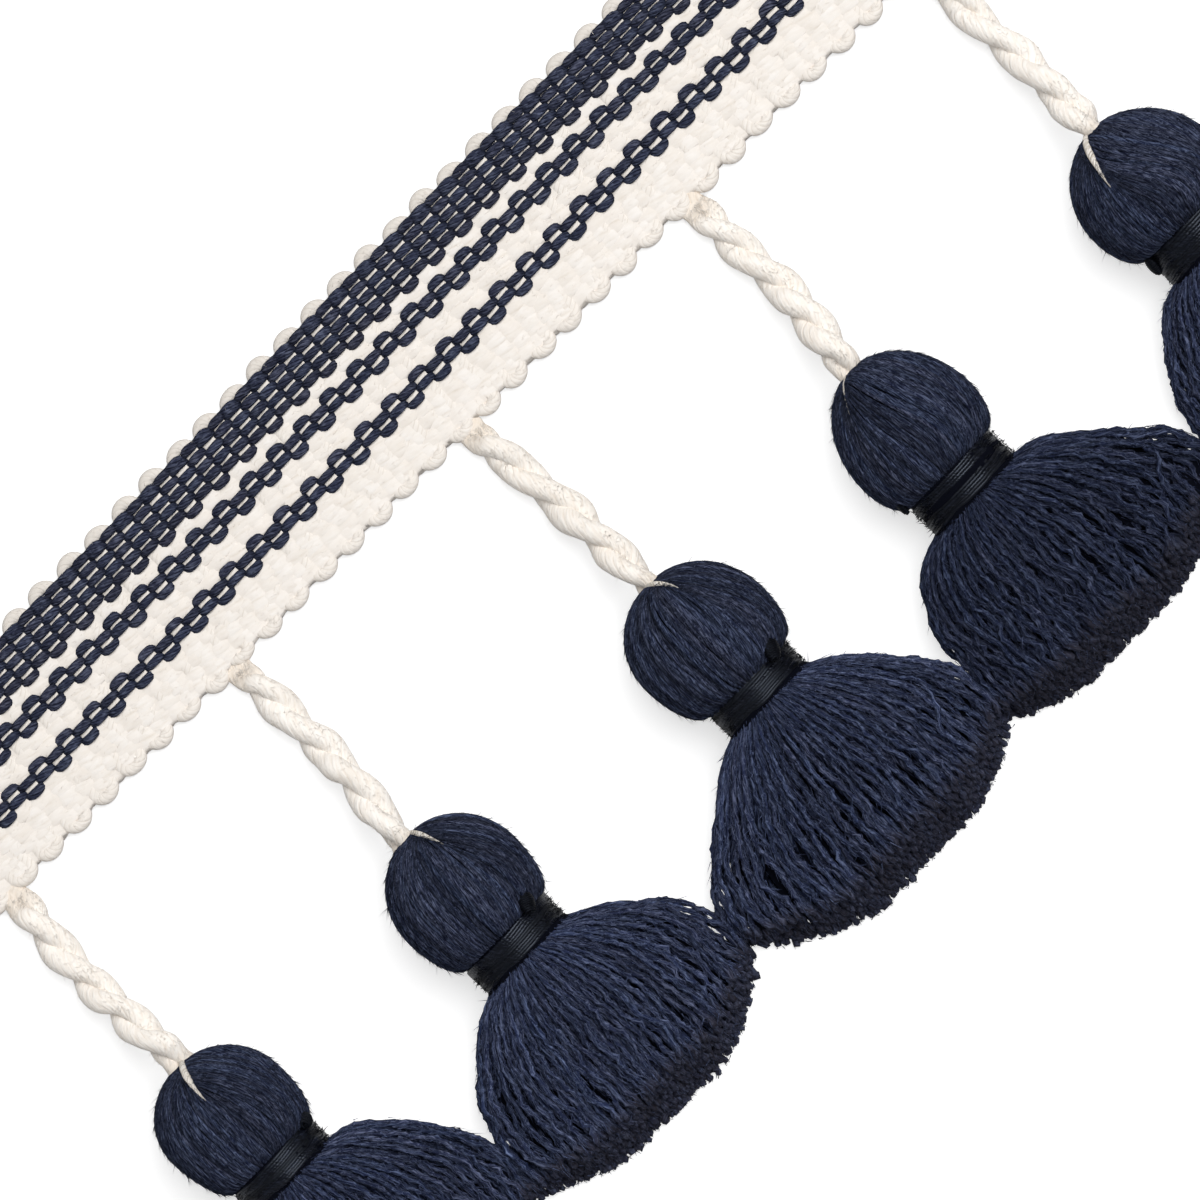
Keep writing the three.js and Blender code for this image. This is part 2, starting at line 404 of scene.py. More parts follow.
def finish_piece(piece, material):
    """Gives a piece its material and slot, riding on the trim's one body."""
    piece.data.materials.clear()
    piece.data.materials.append(material)
    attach(piece, BODY)
    return piece


# ---------------------------------------------------------------- yarns swept along paths
# Yarns are made here as arrays, because thousands of strands that each follow a path of their own
# have no primitive to start from. A strand is a ring of corners carried along its path.


def round_section(corners):
    """The corners of a strand's section: their angles and their distances, as shares of its radius."""
    angle = np.arange(corners) * 2 * np.pi / corners
    return angle, np.ones(corners)


def two_ply_section(corners, valley=0.6):
    """Two plies side by side, with a valley between them on both sides."""
    angle, _ = round_section(corners)
    return angle, valley + (1 - valley) * np.abs(np.cos(angle))


def sweep(paths, ups, wide, thick, section, roll=0.0, shade=None, start=None, cut=0.0):
    """Strands: paths is strands x rings x 3, and the other values fit that shape or are single.

    shade is each strand's tone, start where its twist starts, and cut how far a ring has the look's cut
    colour:
    that of a cut end, painted shade where a warp dives or a cord goes under, and a greyer tint on the
    weft's upper turns.
    """
    paths = np.asarray(paths, float)
    count, rings = paths.shape[:2]
    tangent = unit(np.gradient(paths, axis=1))
    side = unit(np.cross(tangent, np.broadcast_to(ups, paths.shape)))
    up = np.cross(side, tangent)
    wide, thick, roll = (np.broadcast_to(v, (count, rings))[..., None] for v in (wide, thick, roll))
    angle = section[0] + roll
    across = (section[1] * np.cos(angle) * wide)[..., None]
    rise = (section[1] * np.sin(angle) * thick)[..., None]
    corners = paths[:, :, None] + across * side[:, :, None] + rise * up[:, :, None]
    corners[..., 2] = np.maximum(corners[..., 2], SURFACE)
    start = np.zeros(count) if start is None else start
    shade = np.full(count, 0.5) if shade is None else shade
    cut = np.broadcast_to(cut, (count, rings))
    return {"corners": corners, "run": run_along(paths) + start[:, None], "shade": shade, "cut": cut}


def strand_faces(rings, sides):
    """One strand's side faces and its two ends, as corner numbers, with the ring and side of each."""
    ring, side = np.meshgrid(np.arange(rings - 1), np.arange(sides), indexing="ij")
    ring, side = ring.ravel(), side.ravel()
    corner_ring = np.stack([ring, ring + 1, ring + 1, ring], axis=1)
    corner_side = np.stack([side, side, side + 1, side + 1], axis=1)
    numbers = corner_ring * sides + corner_side % sides
    first = np.arange(sides)
    last = (rings - 1) * sides + np.arange(sides)[::-1]
    return numbers, corner_ring, corner_side, first, last


def spike_loops(bundle, cells):
    """As bundle_loops, for hairs: each is three corners at its root and one at its tip."""
    count = len(bundle["run"])
    corners = np.array([0, 1, 3, 1, 2, 3, 2, 0, 3, 0, 2, 1])
    loops = (np.arange(count)[:, None] * 4 + corners).ravel()
    along = bundle["length"][:, None] * (corners == 3)
    uv = np.stack(np.broadcast_arrays(corners % 3 / 3, along), axis=-1)
    face = np.repeat(np.arange(4), 3)
    quarter = np.stack([face % 2, face // 2], axis=-1) * 0.5
    local = quarter + np.tile([[0.05, 0.05], [0.45, 0.05], [0.05, 0.45]], (4, 1))
    cell = cells[0][:, None] + local * cells[1]
    return loops, [3] * (4 * count), uv.reshape(-1, 2), cell.reshape(-1, 2)


def bundle_loops(bundle, cells):
    """Face corners of a bundle, with the yarn map and the map that gives each strand its own cell."""
    count, rings, sides = bundle["corners"].shape[:3]
    if rings == 1:
        return spike_loops(bundle, cells)
    numbers, corner_ring, corner_side, first, last = strand_faces(rings, sides)
    base = np.arange(count)[:, None] * rings * sides
    around = corner_side.ravel() / sides
    run = bundle["run"][:, corner_ring.ravel()]
    sides_uv = np.stack([np.broadcast_to(around, run.shape), run], axis=-1)
    along = corner_ring.ravel() / (rings - 1)
    sides_cell = np.stack([0.04 + 0.92 * around, 0.10 + 0.86 * along], axis=-1)
    turn = np.arange(sides) / sides
    dot = 0.035 * np.stack([np.cos(turn * 2 * np.pi), np.sin(turn * 2 * np.pi)], axis=-1)
    first_cell, last_cell = dot + [0.25, 0.05], dot[::-1] + [0.75, 0.05]
    cell_corner, cell_size = cells
    loops, uv, cell = [], [], []
    for ends, index, local in (
        (None, numbers.ravel(), sides_cell), (0, first, first_cell), (-1, last, last_cell),
    ):
        loops.append((base + index).ravel())
        if ends is None:
            uv.append(sides_uv.reshape(-1, 2))
        else:
            ring_run = np.repeat(bundle["run"][:, [ends]], sides, axis=1)
            uv.append(np.stack([np.broadcast_to(turn, ring_run.shape), ring_run], axis=-1).reshape(-1, 2))
        cell.append((cell_corner[:, None] + local[None] * cell_size).reshape(-1, 2))
    sizes = [4] * (count * len(numbers)) + [sides] * (2 * count)
    return np.concatenate(loops), sizes, np.concatenate(uv), np.concatenate(cell)


def yarn_piece(name, bundles, material):
    """One piece from bundles of strands."""
    total = sum(len(b["run"]) for b in bundles)
    columns = math.ceil(math.sqrt(total))
    size = np.array([1 / columns, 1 / math.ceil(total / columns)])
    cell = np.stack([np.arange(total) % columns, np.arange(total) // columns], axis=1) * size
    points, loops, sizes, uvs, cells, shades, cuts = [], [], [], [], [], [], []
    used = strands = 0
    for bundle in bundles:
        count = len(bundle["run"])
        loop, face, uv, place = bundle_loops(bundle, (cell[strands:strands + count], size))
        corners = bundle["corners"].reshape(-1, 3)
        points.append(corners * MM)
        loops.append(loop + used)
        sizes.append(face)
        uvs.append(uv)
        cells.append(place)
        shades.append(np.repeat(bundle["shade"], len(corners) // count))
        cuts.append(np.repeat(bundle["cut"].ravel(), bundle["corners"].shape[2]))
        used += len(corners)
        strands += count
    parts = (points, loops, sizes, uvs, cells, shades, cuts)
    piece = mesh_from_arrays(name, *(np.concatenate(part) for part in parts))
    return finish_piece(piece, material)


def mesh_from_arrays(name, points, loops, sizes, uv, cells, shade, cut):
    """A smooth-sided mesh with flat ends, its two maps, and each point's shade and cut."""
    mesh = bpy.data.meshes.new(name)
    mesh.vertices.add(len(points))
    mesh.vertices.foreach_set("co", points.ravel())
    mesh.loops.add(len(loops))
    mesh.loops.foreach_set("vertex_index", loops.astype(np.int32))
    mesh.polygons.add(len(sizes))
    starts = np.concatenate([[0], np.cumsum(sizes)[:-1]]).astype(np.int32)
    mesh.polygons.foreach_set("loop_start", starts)
    mesh.polygons.foreach_set("use_smooth", sizes == 4)
    for layer, values in (("Yarn", uv), ("OFBake", cells)):
        mesh.uv_layers.new(name=layer).uv.foreach_set("vector", values.astype(np.float32).ravel())
    mesh.uv_layers.active = mesh.uv_layers["Yarn"]
    for label, values in (("shade", shade), ("cut", cut)):
        marks = mesh.attributes.new(label, "FLOAT", "POINT")
        marks.data.foreach_set("value", values.astype(np.float32))
    mesh.update(calc_edges=True)
    mesh.validate()
    piece = bpy.data.objects.new(name, mesh)
    bpy.context.collection.objects.link(piece)
    return piece


def hairs(rng, roots, directions, length, radius, shades):
    """Loose fibres: fine closed spikes that leave the yarn, each a shade of its own."""
    count = len(roots)
    reach = length * rng.uniform(0.4, 1.3, count)
    side = unit(np.cross(directions, rng.normal(size=(count, 3))))
    other = np.cross(directions, side)
    turn = np.arange(3) * 2 * np.pi / 3
    ring = np.cos(turn)[None, :, None] * side[:, None] + np.sin(turn)[None, :, None] * other[:, None]
    tip = roots + reach[:, None] * directions
    corners = np.concatenate([roots[:, None] + radius * ring, tip[:, None]], axis=1)
    corners[..., 2] = np.maximum(corners[..., 2], SURFACE)
    return {"corners": corners[:, None], "run": np.zeros((count, 1)), "length": reach,
            "shade": rng.uniform(*shades, count), "cut": np.zeros((count, 1))}


# ---------------------------------------------------------------- materials

# Shares of the patterns that all yarns have in common.
STREAK_SHIFT = 71.0
FUZZ_SCALE = 3000.0
FUZZ_RELIEF = 0.25
FLECK_RANGE = (0.58, 0.74)
VALLEY_FLOOR = 0.15
CUT_COVER = 0.62
HUES_PER_SHADE = 7.0
BUMP_DISTANCE = 0.1 * MM
SHEEN_ROUGHNESS = 0.45


def node(tree, kind, inputs=(), **settings):
    """Adds a node; inputs are sockets to link from, or values to set."""
    made = tree.nodes.new(kind)
    for name, value in settings.items():
        setattr(made, name, value)
    for key, value in dict(inputs).items():
        if isinstance(value, bpy.types.NodeSocket):
            tree.links.new(value, made.inputs[key])
        else:
            made.inputs[key].default_value = value
    return made


def maths(tree, operation, a, b=0.0):
    return node(tree, "ShaderNodeMath", {0: a, 1: b}, operation=operation).outputs[0]


def attribute(tree, name):
    return node(tree, "ShaderNodeAttribute", attribute_name=name).outputs["Fac"]


def blend_colour(tree, factor, a, b, mode="MIX"):
    made = node(tree, "ShaderNodeMix", {0: factor, 6: a, 7: b}, data_type="RGBA", blend_type=mode)
    return made.outputs[2]


def new_group(name, inputs, outputs):
    """An empty node group, with the sockets of its insides to read from and to write to."""
    tree = bpy.data.node_groups.new(name, "ShaderNodeTree")
    for label, value in inputs.items():
        socket = tree.interface.new_socket(label, in_out="INPUT", socket_type="NodeSocketFloat")
        socket.default_value = value
    for label in outputs:
        tree.interface.new_socket(label, in_out="OUTPUT", socket_type="NodeSocketFloat")
    return tree, tree.nodes.new("NodeGroupInput").outputs, tree.nodes.new("NodeGroupOutput").inputs


def make_twist_group():
    """Strands laid round a yarn: valleys between them and streaks of fibre that run along them."""
    defaults = {"Strands": 2.0, "Turn Length": 6.0, "Streaks": 5.0, "Streak Length": 2.5}
    tree, given, out = new_group("Twisted Strands", defaults, ("Crown", "Fibre", "Fuzz"))
    place = node(tree, "ShaderNodeUVMap", uv_map="Yarn").outputs[0]
    split = node(tree, "ShaderNodeSeparateXYZ", {0: place})
    around, along = split.outputs[0], split.outputs[1]
    turned = maths(tree, "ADD", around, maths(tree, "DIVIDE", along, given["Turn Length"]))
    phase = maths(tree, "MULTIPLY", turned, given["Strands"])
    wave = maths(tree, "COSINE", maths(tree, "MULTIPLY", phase, math.pi))
    crown = maths(tree, "POWER", maths(tree, "ABSOLUTE", wave), 0.6)
    streak_at = node(tree, "ShaderNodeCombineXYZ", {
        0: maths(tree, "MULTIPLY", phase, given["Streaks"]),
        1: maths(tree, "DIVIDE", along, given["Streak Length"]),
        2: maths(tree, "MULTIPLY", attribute(tree, "shade"), STREAK_SHIFT),
    }).outputs[0]
    fibre = node(tree, "ShaderNodeTexNoise", {"Vector": streak_at, "Scale": 1.0, "Detail": 4.0})
    spot_at = node(tree, "ShaderNodeTexCoord").outputs["Object"]
    fuzz = node(tree, "ShaderNodeTexNoise", {"Vector": spot_at, "Scale": FUZZ_SCALE, "Detail": 2.0})
    tree.links.new(crown, out["Crown"])
    tree.links.new(fibre.outputs[0], out["Fibre"])
    tree.links.new(fuzz.outputs[0], out["Fuzz"])
    return tree


def ramp(tree, value, low, high, floor=0.0, ceiling=1.0):
    """Stretches a mask so that `low` becomes `floor` and `high` becomes `ceiling`."""
    return node(tree, "ShaderNodeMapRange", {0: value, 1: low, 2: high, 3: floor, 4: ceiling}).outputs[0]


def yarn_colour(tree, look, crown, fibre, fuzz, shade):
    """Valleys darker as painted shade, body and raised fibres, toned and tinted by the strand's own shade.
    """
    # Painted shade: the valleys between the strands take the darker valley colour.
    crest = ramp(tree, crown, VALLEY_FLOOR, look["valley_width"])
    lit = blend_colour(tree, crest, look["valley"], look["body"])
    lit = blend_colour(tree, ramp(tree, fibre, *look["streak_range"]), lit, look["raised"])
    worn = maths(tree, "MULTIPLY", ramp(tree, fuzz, *FLECK_RANGE), look["fleck"])
    lit = blend_colour(tree, worn, lit, look["raised"])
    tone = ramp(tree, shade, 0.0, 1.0, *look["shade_range"])
    grey = node(tree, "ShaderNodeCombineColor", {0: tone, 1: tone, 2: tone}).outputs[0]
    lit = blend_colour(tree, 1.0, lit, grey, "MULTIPLY")
    hue = maths(tree, "FRACT", maths(tree, "MULTIPLY", shade, HUES_PER_SHADE))
    lit = blend_colour(tree, 1.0, lit, blend_colour(tree, hue, *look["tints"]), "MULTIPLY")
    # The cut colour: that of cut ends, and also painted shade where warps dive, and where cords go under
    # the band and into a head.
    return blend_colour(tree, maths(tree, "MULTIPLY", attribute(tree, "cut"), CUT_COVER), lit, look["cut"])


def yarn_height(tree, look, crown, fibre, fuzz):
    """The relief of strands, fibres and fuzz together."""
    strands = maths(tree, "MULTIPLY", crown, look["strand_relief"])
    fibres = maths(tree, "MULTIPLY", fibre, look["fibre_relief"])
    height = maths(tree, "ADD", strands, fibres)
    return maths(tree, "ADD", height, maths(tree, "MULTIPLY", fuzz, FUZZ_RELIEF))


def yarn_material(name, twist, look):
    """A matt yarn with the colours, relief and finish of its look."""
    material = bpy.data.materials.new(name)
    material.use_nodes = True
    tree = material.node_tree
    shader = tree.nodes["Principled BSDF"]
    pattern = node(tree, "ShaderNodeGroup", node_tree=twist)
    for label in ("Strands", "Turn Length", "Streaks", "Streak Length"):
        pattern.inputs[label].default_value = look[label]
    crown, fibre, fuzz = (pattern.outputs[label] for label in ("Crown", "Fibre", "Fuzz"))
    shade = attribute(tree, "shade")
    tree.links.new(yarn_colour(tree, look, crown, fibre, fuzz, shade), shader.inputs["Base Color"])
    least, most = look["rough"] - look["rough_range"], look["rough"] + look["rough_range"]
    rough = ramp(tree, fibre, 0.3, 0.7, least, most)
    duller = maths(tree, "MULTIPLY", maths(tree, "SUBTRACT", 0.5, shade), look["rough_drift"])
    tree.links.new(maths(tree, "ADD", rough, duller), shader.inputs["Roughness"])
    relief = {"Height": yarn_height(tree, look, crown, fibre, fuzz), "Strength": look["bump"]}
    bump = node(tree, "ShaderNodeBump", {**relief, "Distance": BUMP_DISTANCE})
    tree.links.new(bump.outputs[0], shader.inputs["Normal"])
    finish = {
        "Sheen Weight": look["sheen"], "Sheen Roughness": SHEEN_ROUGHNESS,
        "Sheen Tint": look["sheen_tint"], "Specular IOR Level": look["gloss"],
        "Specular Tint": look["gloss_tint"],
    }
    for socket, value in finish.items():
        shader.inputs[socket].default_value = value
    return material


# Looks. Each but the first starts from another and says only what differs.
#   Strands, Turn Length, Streaks, Streak Length   the twist and its fibres, lengths in millimetres
#   valley, body, raised        colours between the strands (darker there as painted shade), on them and on raised fibres
#   valley_width, streak_range  how much of a strand is valley, and how much shows raised fibres
#   fleck, cut                  how strong the pale flecks are, and the colour of a cut end, also painted shade where a yarn dives or goes under
#   shade_range, tints          the tones and tints between which strands differ
#   rough, rough_range, rough_drift   roughness, its change along a fibre and from strand to strand
#   strand_relief, fibre_relief, bump   heights of strands and fibres, and the strength of both
NAVY_YARN = {
    "Strands": 2.0, "Turn Length": 9.0, "Streaks": 6.0, "Streak Length": 1.8,
    "valley": (0.0022, 0.0033, 0.0100, 1), "body": (0.0150, 0.0205, 0.0500, 1),
    "raised": (0.120, 0.146, 0.245, 1), "valley_width": 0.75, "streak_range": (0.46, 0.70),
    "fleck": 0.8, "shade_range": (0.60, 2.2), "rough": 0.86, "rough_range": 0.08, "rough_drift": 0.0,
    "strand_relief": 0.6, "fibre_relief": 1.6, "bump": 1.0, "sheen": 0.02,
    "sheen_tint": (0.45, 0.55, 0.80, 1), "gloss": 0.05, "gloss_tint": (1, 1, 1, 1),
    "cut": (0.033, 0.0295, 0.036, 1),
    "tints": ((1.06, 1.0, 0.96, 1), (0.94, 1.0, 1.05, 1)),
}
NAVY_HEAD = {**NAVY_YARN, "Strands": 3.0, "Turn Length": 9.0, "Streaks": 8.0, "Streak Length": 1.3,
             "strand_relief": 0.9, "valley_width": 0.95, "body": (0.0075, 0.0102, 0.0265, 1),
             "raised": (0.096, 0.116, 0.190, 1), "streak_range": (0.46, 0.68), "shade_range": (0.60, 1.45)}
NAVY_WARP = {**NAVY_YARN, "Strands": 7.0, "Turn Length": 7.0, "Streaks": 2.0, "Streak Length": 0.8,
             "valley": (0.003, 0.004, 0.011, 1), "body": (0.029, 0.033, 0.060, 1),
             "raised": (0.110, 0.122, 0.180, 1), "strand_relief": 1.3, "fleck": 0.25,
             "shade_range": (0.80, 1.20), "cut": (0.003, 0.004, 0.011, 1)}
CREAM_WARP = {**NAVY_WARP, "Strands": 3.0, "Turn Length": 30.0, "Streaks": 5.0, "Streak Length": 1.6,
              "valley": (0.80, 0.74, 0.67, 1), "body": (0.865, 0.815, 0.76, 1),
              "raised": (0.91, 0.87, 0.83, 1), "streak_range": (0.35, 0.70), "valley_width": 0.5,
              "sheen": 0.0, "sheen_tint": (1.0, 0.97, 0.93, 1),
              "shade_range": (0.97, 1.03), "bump": 0.35, "cut": (0.85, 0.79, 0.725, 1),
              "tints": ((1.0, 0.985, 0.965, 1), (1.0, 1.0, 1.0, 1))}
CREAM_WEFT = {**CREAM_WARP, "Strands": 5.0, "Turn Length": 3.4, "Streaks": 3.0, "Streak Length": 0.9,
              "valley": (0.76, 0.70, 0.63, 1), "body": (0.87, 0.82, 0.765, 1),
              "raised": (0.93, 0.895, 0.855, 1), "bump": 0.5, "strand_relief": 0.8, "valley_width": 0.6,
              "streak_range": (0.5, 0.8), "cut": (0.62, 0.58, 0.53, 1), "sheen": 0.15}
CREAM_CORD = {**CREAM_WARP, "Strands": 7.0, "Turn Length": 11.0, "Streaks": 3.0, "Streak Length": 1.2,
              "valley": (0.88, 0.80, 0.715, 1), "body": (0.94, 0.88, 0.81, 1),
              "raised": (0.99, 0.95, 0.90, 1), "streak_range": (0.40, 0.60), "valley_width": 0.7,
              "strand_relief": 0.5, "fibre_relief": 2.4, "bump": 0.8, "fleck": 0.6, "sheen": 0.35,
              "cut": (0.70, 0.57, 0.43, 1)}
CREAM_THREAD = {**CREAM_CORD, "Strands": 4.0, "Turn Length": 2.4, "valley": (0.36, 0.31, 0.24, 1),
                "body": (0.72, 0.66, 0.57, 1), "strand_relief": 1.4, "bump": 1.0, "sheen": 0.1}
# Painted shade: the tassels' packed insides are near-black, far darker than their navy yarn, to stand for
# the shade between the yarns.
PACKED_NAVY_PAINTED_SHADE = {**NAVY_YARN, "body": (0.003, 0.004, 0.010, 1), "raised": (0.006, 0.008, 0.018, 1)}
DARK_THREAD = {**NAVY_YARN, "Strands": 3.0, "Turn Length": 1.6, "valley": (0.0005, 0.0005, 0.0008, 1),
               "body": (0.0011, 0.0013, 0.0026, 1), "raised": (0.0060, 0.0070, 0.0115, 1),
               "Streaks": 2.0, "Streak Length": 2.5, "rough": 0.30, "rough_range": 0.06,
               "rough_drift": 0.44, "sheen": 0.0, "gloss": 0.32, "gloss_tint": (0.72, 0.82, 1.0, 1),
               "bump": 0.25, "fleck": 0.1}
DARK_KNOT = {**DARK_THREAD, "rough": 0.42, "gloss": 0.16, "bump": 0.8, "shade_range": (0.4, 1.6)}


# ---------------------------------------------------------------- the woven band


def drifted(x, y):
    """y with the band's small unevenness added: none at its lower edge."""
    middle = follow(BAND_DRIFT, "x", "middle", x)
    top = follow(BAND_DRIFT, "x", "top", x)
    share = (y - LOWER_EDGE_Y) / (BAND_TOP_Y - LOWER_EDGE_Y) * 2
    return y + np.where(share < 1, middle * share, lerp(middle, top, share - 1))


def weft_path(rng):
    """The weft's one path: up and down across the band, with a rounded turn at each end of a pass.

    Also how far round a turn each point is, and whether it is on the upper edge.
    """
    low = LOWER_EDGE_Y + TURN_REACH + TURN_HALF_WIDTH
    high = BAND_TOP_Y - TURN_REACH - TURN_HALF_WIDTH
    points, turning, upper = [], [], []
    straight = np.linspace(0.04, 0.96, WEFT_PASS_POINTS)
    bend = np.linspace(0, np.pi, TURN_POINTS)
    for number in range(WEFT_PASSES):
        x = (number + 0.5) * WEFT_PITCH - BAND_LENGTH / 2
        rising = number % 2 == 0
        near, far = (low, high) if rising else (high, low)
        points += [(x, lerp(near, far, share)) for share in straight]
        turning += [0.0] * len(straight)
        upper += [rising] * len(straight)
        if number == WEFT_PASSES - 1:
            break
        away = 1 if rising else -1
        middle = x + WEFT_PITCH / 2 + rng.uniform(-0.12, 0.12)
        size = TURN_REACH * rng.uniform(0.82, 1.12)
        for angle in bend:
            points.append((middle - WEFT_PITCH / 2 * math.cos(angle), far + away * size * math.sin(angle)))
            turning.append(math.sin(angle) ** 0.5)
            upper.append(rising)
    points = np.array([(x, y, BAND_MIDDLE_HEIGHT) for x, y in points])
    points[:, 1] = drifted(points[:, 0], points[:, 1])
    return points, np.array(turning), np.array(upper)


def make_weft(rng, material):
    """The weft: flat where it crosses under the warps, fuller in the scallop of each turn."""
    path, turning, upper = weft_path(rng)
    wide = lerp(WEFT_HALF_WIDTH, TURN_HALF_WIDTH, turning)
    wide = wide * (1 + 0.08 * np.sin(np.arange(len(path)) * 0.37) * turning)
    thick = lerp(WEFT_HALF_THICKNESS, TURN_HALF_THICKNESS, turning)
    # The turns along the upper edge take the look's cut colour, which tints them greyer.
    strand = sweep(path[None], UP, wide[None], thick[None], round_section(10), cut=0.8 * turning * upper)
    turns = np.flatnonzero(turning > 0.4)
    pick = np.zeros(WEFT_HAIRS, int), rng.choice(turns, WEFT_HAIRS)
    loose = fuzz_along(rng, path[None], wide, pick, WEFT_FUZZ)
    return yarn_piece("weft", [strand, loose], material)


def fuzz_along(rng, paths, wide, pick, look):
    """Hairs that lie over a yarn and along it.

    pick gives each one's strand and ring. look gives its length, radius and shades, how far it
    splays from the yarn and how far up the yarn it starts, as a share of the yarn's half width.
    """
    wide = np.broadcast_to(wide, paths.shape[:2])[pick]
    flow = unit(np.gradient(paths, axis=1))[pick]
    across = unit(np.cross(flow, UP))
    turn = rng.uniform(0.1, 0.9, len(wide)) * np.pi
    out = np.cos(turn)[:, None] * across + np.sin(turn)[:, None] * UP
    way = unit(flow + out * 0.15 + rng.normal(0, look["splay"], flow.shape))
    roots = paths[pick] + out * (wide * look["height"])[:, None]
    return hairs(rng, roots, way, look["length"], look["radius"], look["shades"])


def warp_rows():
    """Every warp with its place, yarn, side of the first pass and bow."""
    rows = []
    for run in WARP_RUNS:
        for number in range(run["count"]):
            bow = run["upper_bow"] if number == 0 else 0.0
            if number == run["count"] - 1:
                bow = -run["lower_bow"]
            y = BAND_TOP_Y - run["first"] - number * run["pitch"]
            rows.append({"y": y, "yarn": run["yarn"], "bow": bow, "over": 1 - 2 * (len(rows) % 2)})
    return rows


def make_warps(rng, yarn, material):
    """The warps of one colour. Each goes over one pass and under the next."""
    rows = [row for row in warp_rows() if row["yarn"] == yarn]
    steps = WEFT_PASSES * WARP_STEPS + 1
    x = np.linspace(-BAND_LENGTH / 2 + 0.05, BAND_LENGTH / 2 - 0.05, steps)
    turn = np.pi * ((x + BAND_LENGTH / 2) / WEFT_PITCH - 0.5)
    late = smooth_along(rng.normal(0, 1, (len(rows), steps)), 24) * WARP_STAGGER[yarn] * 2.5
    over = np.cos(turn[None] + late) * column(rows, "over")[:, None]
    wander = np.cumsum(rng.normal(0, 0.016, over.shape), axis=1)
    wander -= smooth_along(wander, 40)
    y = column(rows, "y")[:, None] + column(rows, "bow")[:, None] * np.clip(over, 0, 1) ** 0.7
    height = BAND_MIDDLE_HEIGHT + WARP_RISE[yarn] * np.sign(over) * np.abs(over) ** 0.8
    paths = np.stack([np.broadcast_to(x, y.shape), drifted(x[None], y) + wander, height], axis=-1)
    wide = lerp(*WARP_HALF_WIDTHS[yarn], np.abs(over) ** 0.4)
    wide = wide * (1 + smooth_along(rng.normal(0, 0.10, over.shape), 4))
    # Painted shade: each warp darkens towards its look's cut colour where it dives under the weft.
    painted_dive_shade = 0.9 * smoothstep(0.75, 0.2, over)
    strands = sweep(paths, UP, wide, WARP_HALF_THICKNESS, round_section(6), cut=painted_dive_shade,
                    shade=rng.uniform(0, 1, len(rows)), start=rng.uniform(0, 50, len(rows)))
    number = WARP_HAIRS[yarn]
    lying_over = np.argwhere(over > 0.25)
    pick = tuple(lying_over[rng.integers(0, len(lying_over), number)].T)
    loose = fuzz_along(rng, paths, WARP_HALF_THICKNESS, pick, WARP_FUZZ)
    return yarn_piece(f"{yarn}_warps", [strands, loose], material)


# ---------------------------------------------------------------- hanger cords


def cord_line(cord, head):
    """The middle of one hanger cord, from under the band's edge to just inside the head."""
    along = column(CORD_ROUTE, "along")
    bow = cord["sway"] * np.sin(np.pi * along)
    x = lerp(cord["rootX"], cord["poleX"], along) + bow
    y = LOWER_EDGE_Y - lerp(GAP, head["top"] - GAP, along)
    points = np.stack([x, y, column(CORD_ROUTE, "height")], axis=-1)
    root = [[cord["rootX"], LOWER_EDGE_Y + CORD_TUCK, 0.70], [cord["rootX"], LOWER_EDGE_Y + 1.0, 0.80]]
    inside = points[-1] + [0, -CORD_ENTRY, 0.1]
    return resample(np.concatenate([root, points, [inside]]), CORD_RINGS)


def make_cord(rng, number, cord, head, material):
    """Two plies laid round each other: flat and side by side at the band, closer at the head."""
    line = cord_line(cord, head)
    run = run_along(line)
    tangent = unit(np.gradient(line, axis=0))
    side = unit(np.cross(tangent, UP))
    up = np.cross(side, tangent)
    opened = 1 - smoothstep(*PLY_OPEN, run)
    closing = smoothstep(run[-1] - PLY_CLOSE[0], run[-1] - PLY_CLOSE[1], run)
    full = lerp(PLY_FULLNESS["laid"], PLY_FULLNESS["open"], opened) * lerp(1, PLY_FULLNESS["end"], closing)
    apart = lerp(PLY_SPACING["laid"], PLY_SPACING["open"], opened) * full
    flat = lerp(1, PLY_OPEN_FLATNESS, opened)
    laid = np.pi * np.maximum(run - PLY_LAY_START, 0) / cord["half_turn"]
    phase = math.radians(cord["phase"]) * (1 - opened) + laid
    paths, radii = [], []
    for ply in (0, 1):
        angle = phase + ply * np.pi
        lift = np.sin(angle) * lerp(1, PLY_OPEN_LIFT, opened)
        path = line + apart[:, None] * (np.cos(angle)[:, None] * side + lift[:, None] * up)
        lumps = smooth_along(rng.normal(0, 1, (3, CORD_RINGS)), 9)
        radii.append(PLY_RADIUS * full * (1 + PLY_LUMPS * lumps[0]))
        paths.append(path + PLY_WANDER * lumps[1][:, None] * side)
    paths, radii = np.array(paths), np.array(radii)
    thick = radii * flat
    paths[..., 2] = np.maximum(paths[..., 2], thick * 0.95)
    # Painted shadow where the cord goes under the band, and painted shade where it goes into the head:
    # both take the cut colour.
    painted_band_shadow = 0.6 * (1 - smoothstep(3.0, 5.6, run))
    painted_head_shade = 0.7 * smoothstep(run[-1] - 3.0, run[-1], run)
    strands = sweep(paths, UP, radii, thick, round_section(18), shade=rng.uniform(0, 1, 2),
                    start=rng.uniform(0, 40, 2), cut=np.maximum(painted_band_shadow, painted_head_shade))
    pick = rng.integers(0, 2, CORD_HAIRS), rng.integers(14, CORD_RINGS - 8, CORD_HAIRS)
    loose = fuzz_along(rng, paths, radii, pick, CORD_FUZZ)
    piece = yarn_piece(f"cord_{number}", [strands, loose], material)
    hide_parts(f"hanger_cord_{number}")
    return piece, line, run[-1]


# ---------------------------------------------------------------- tassel heads


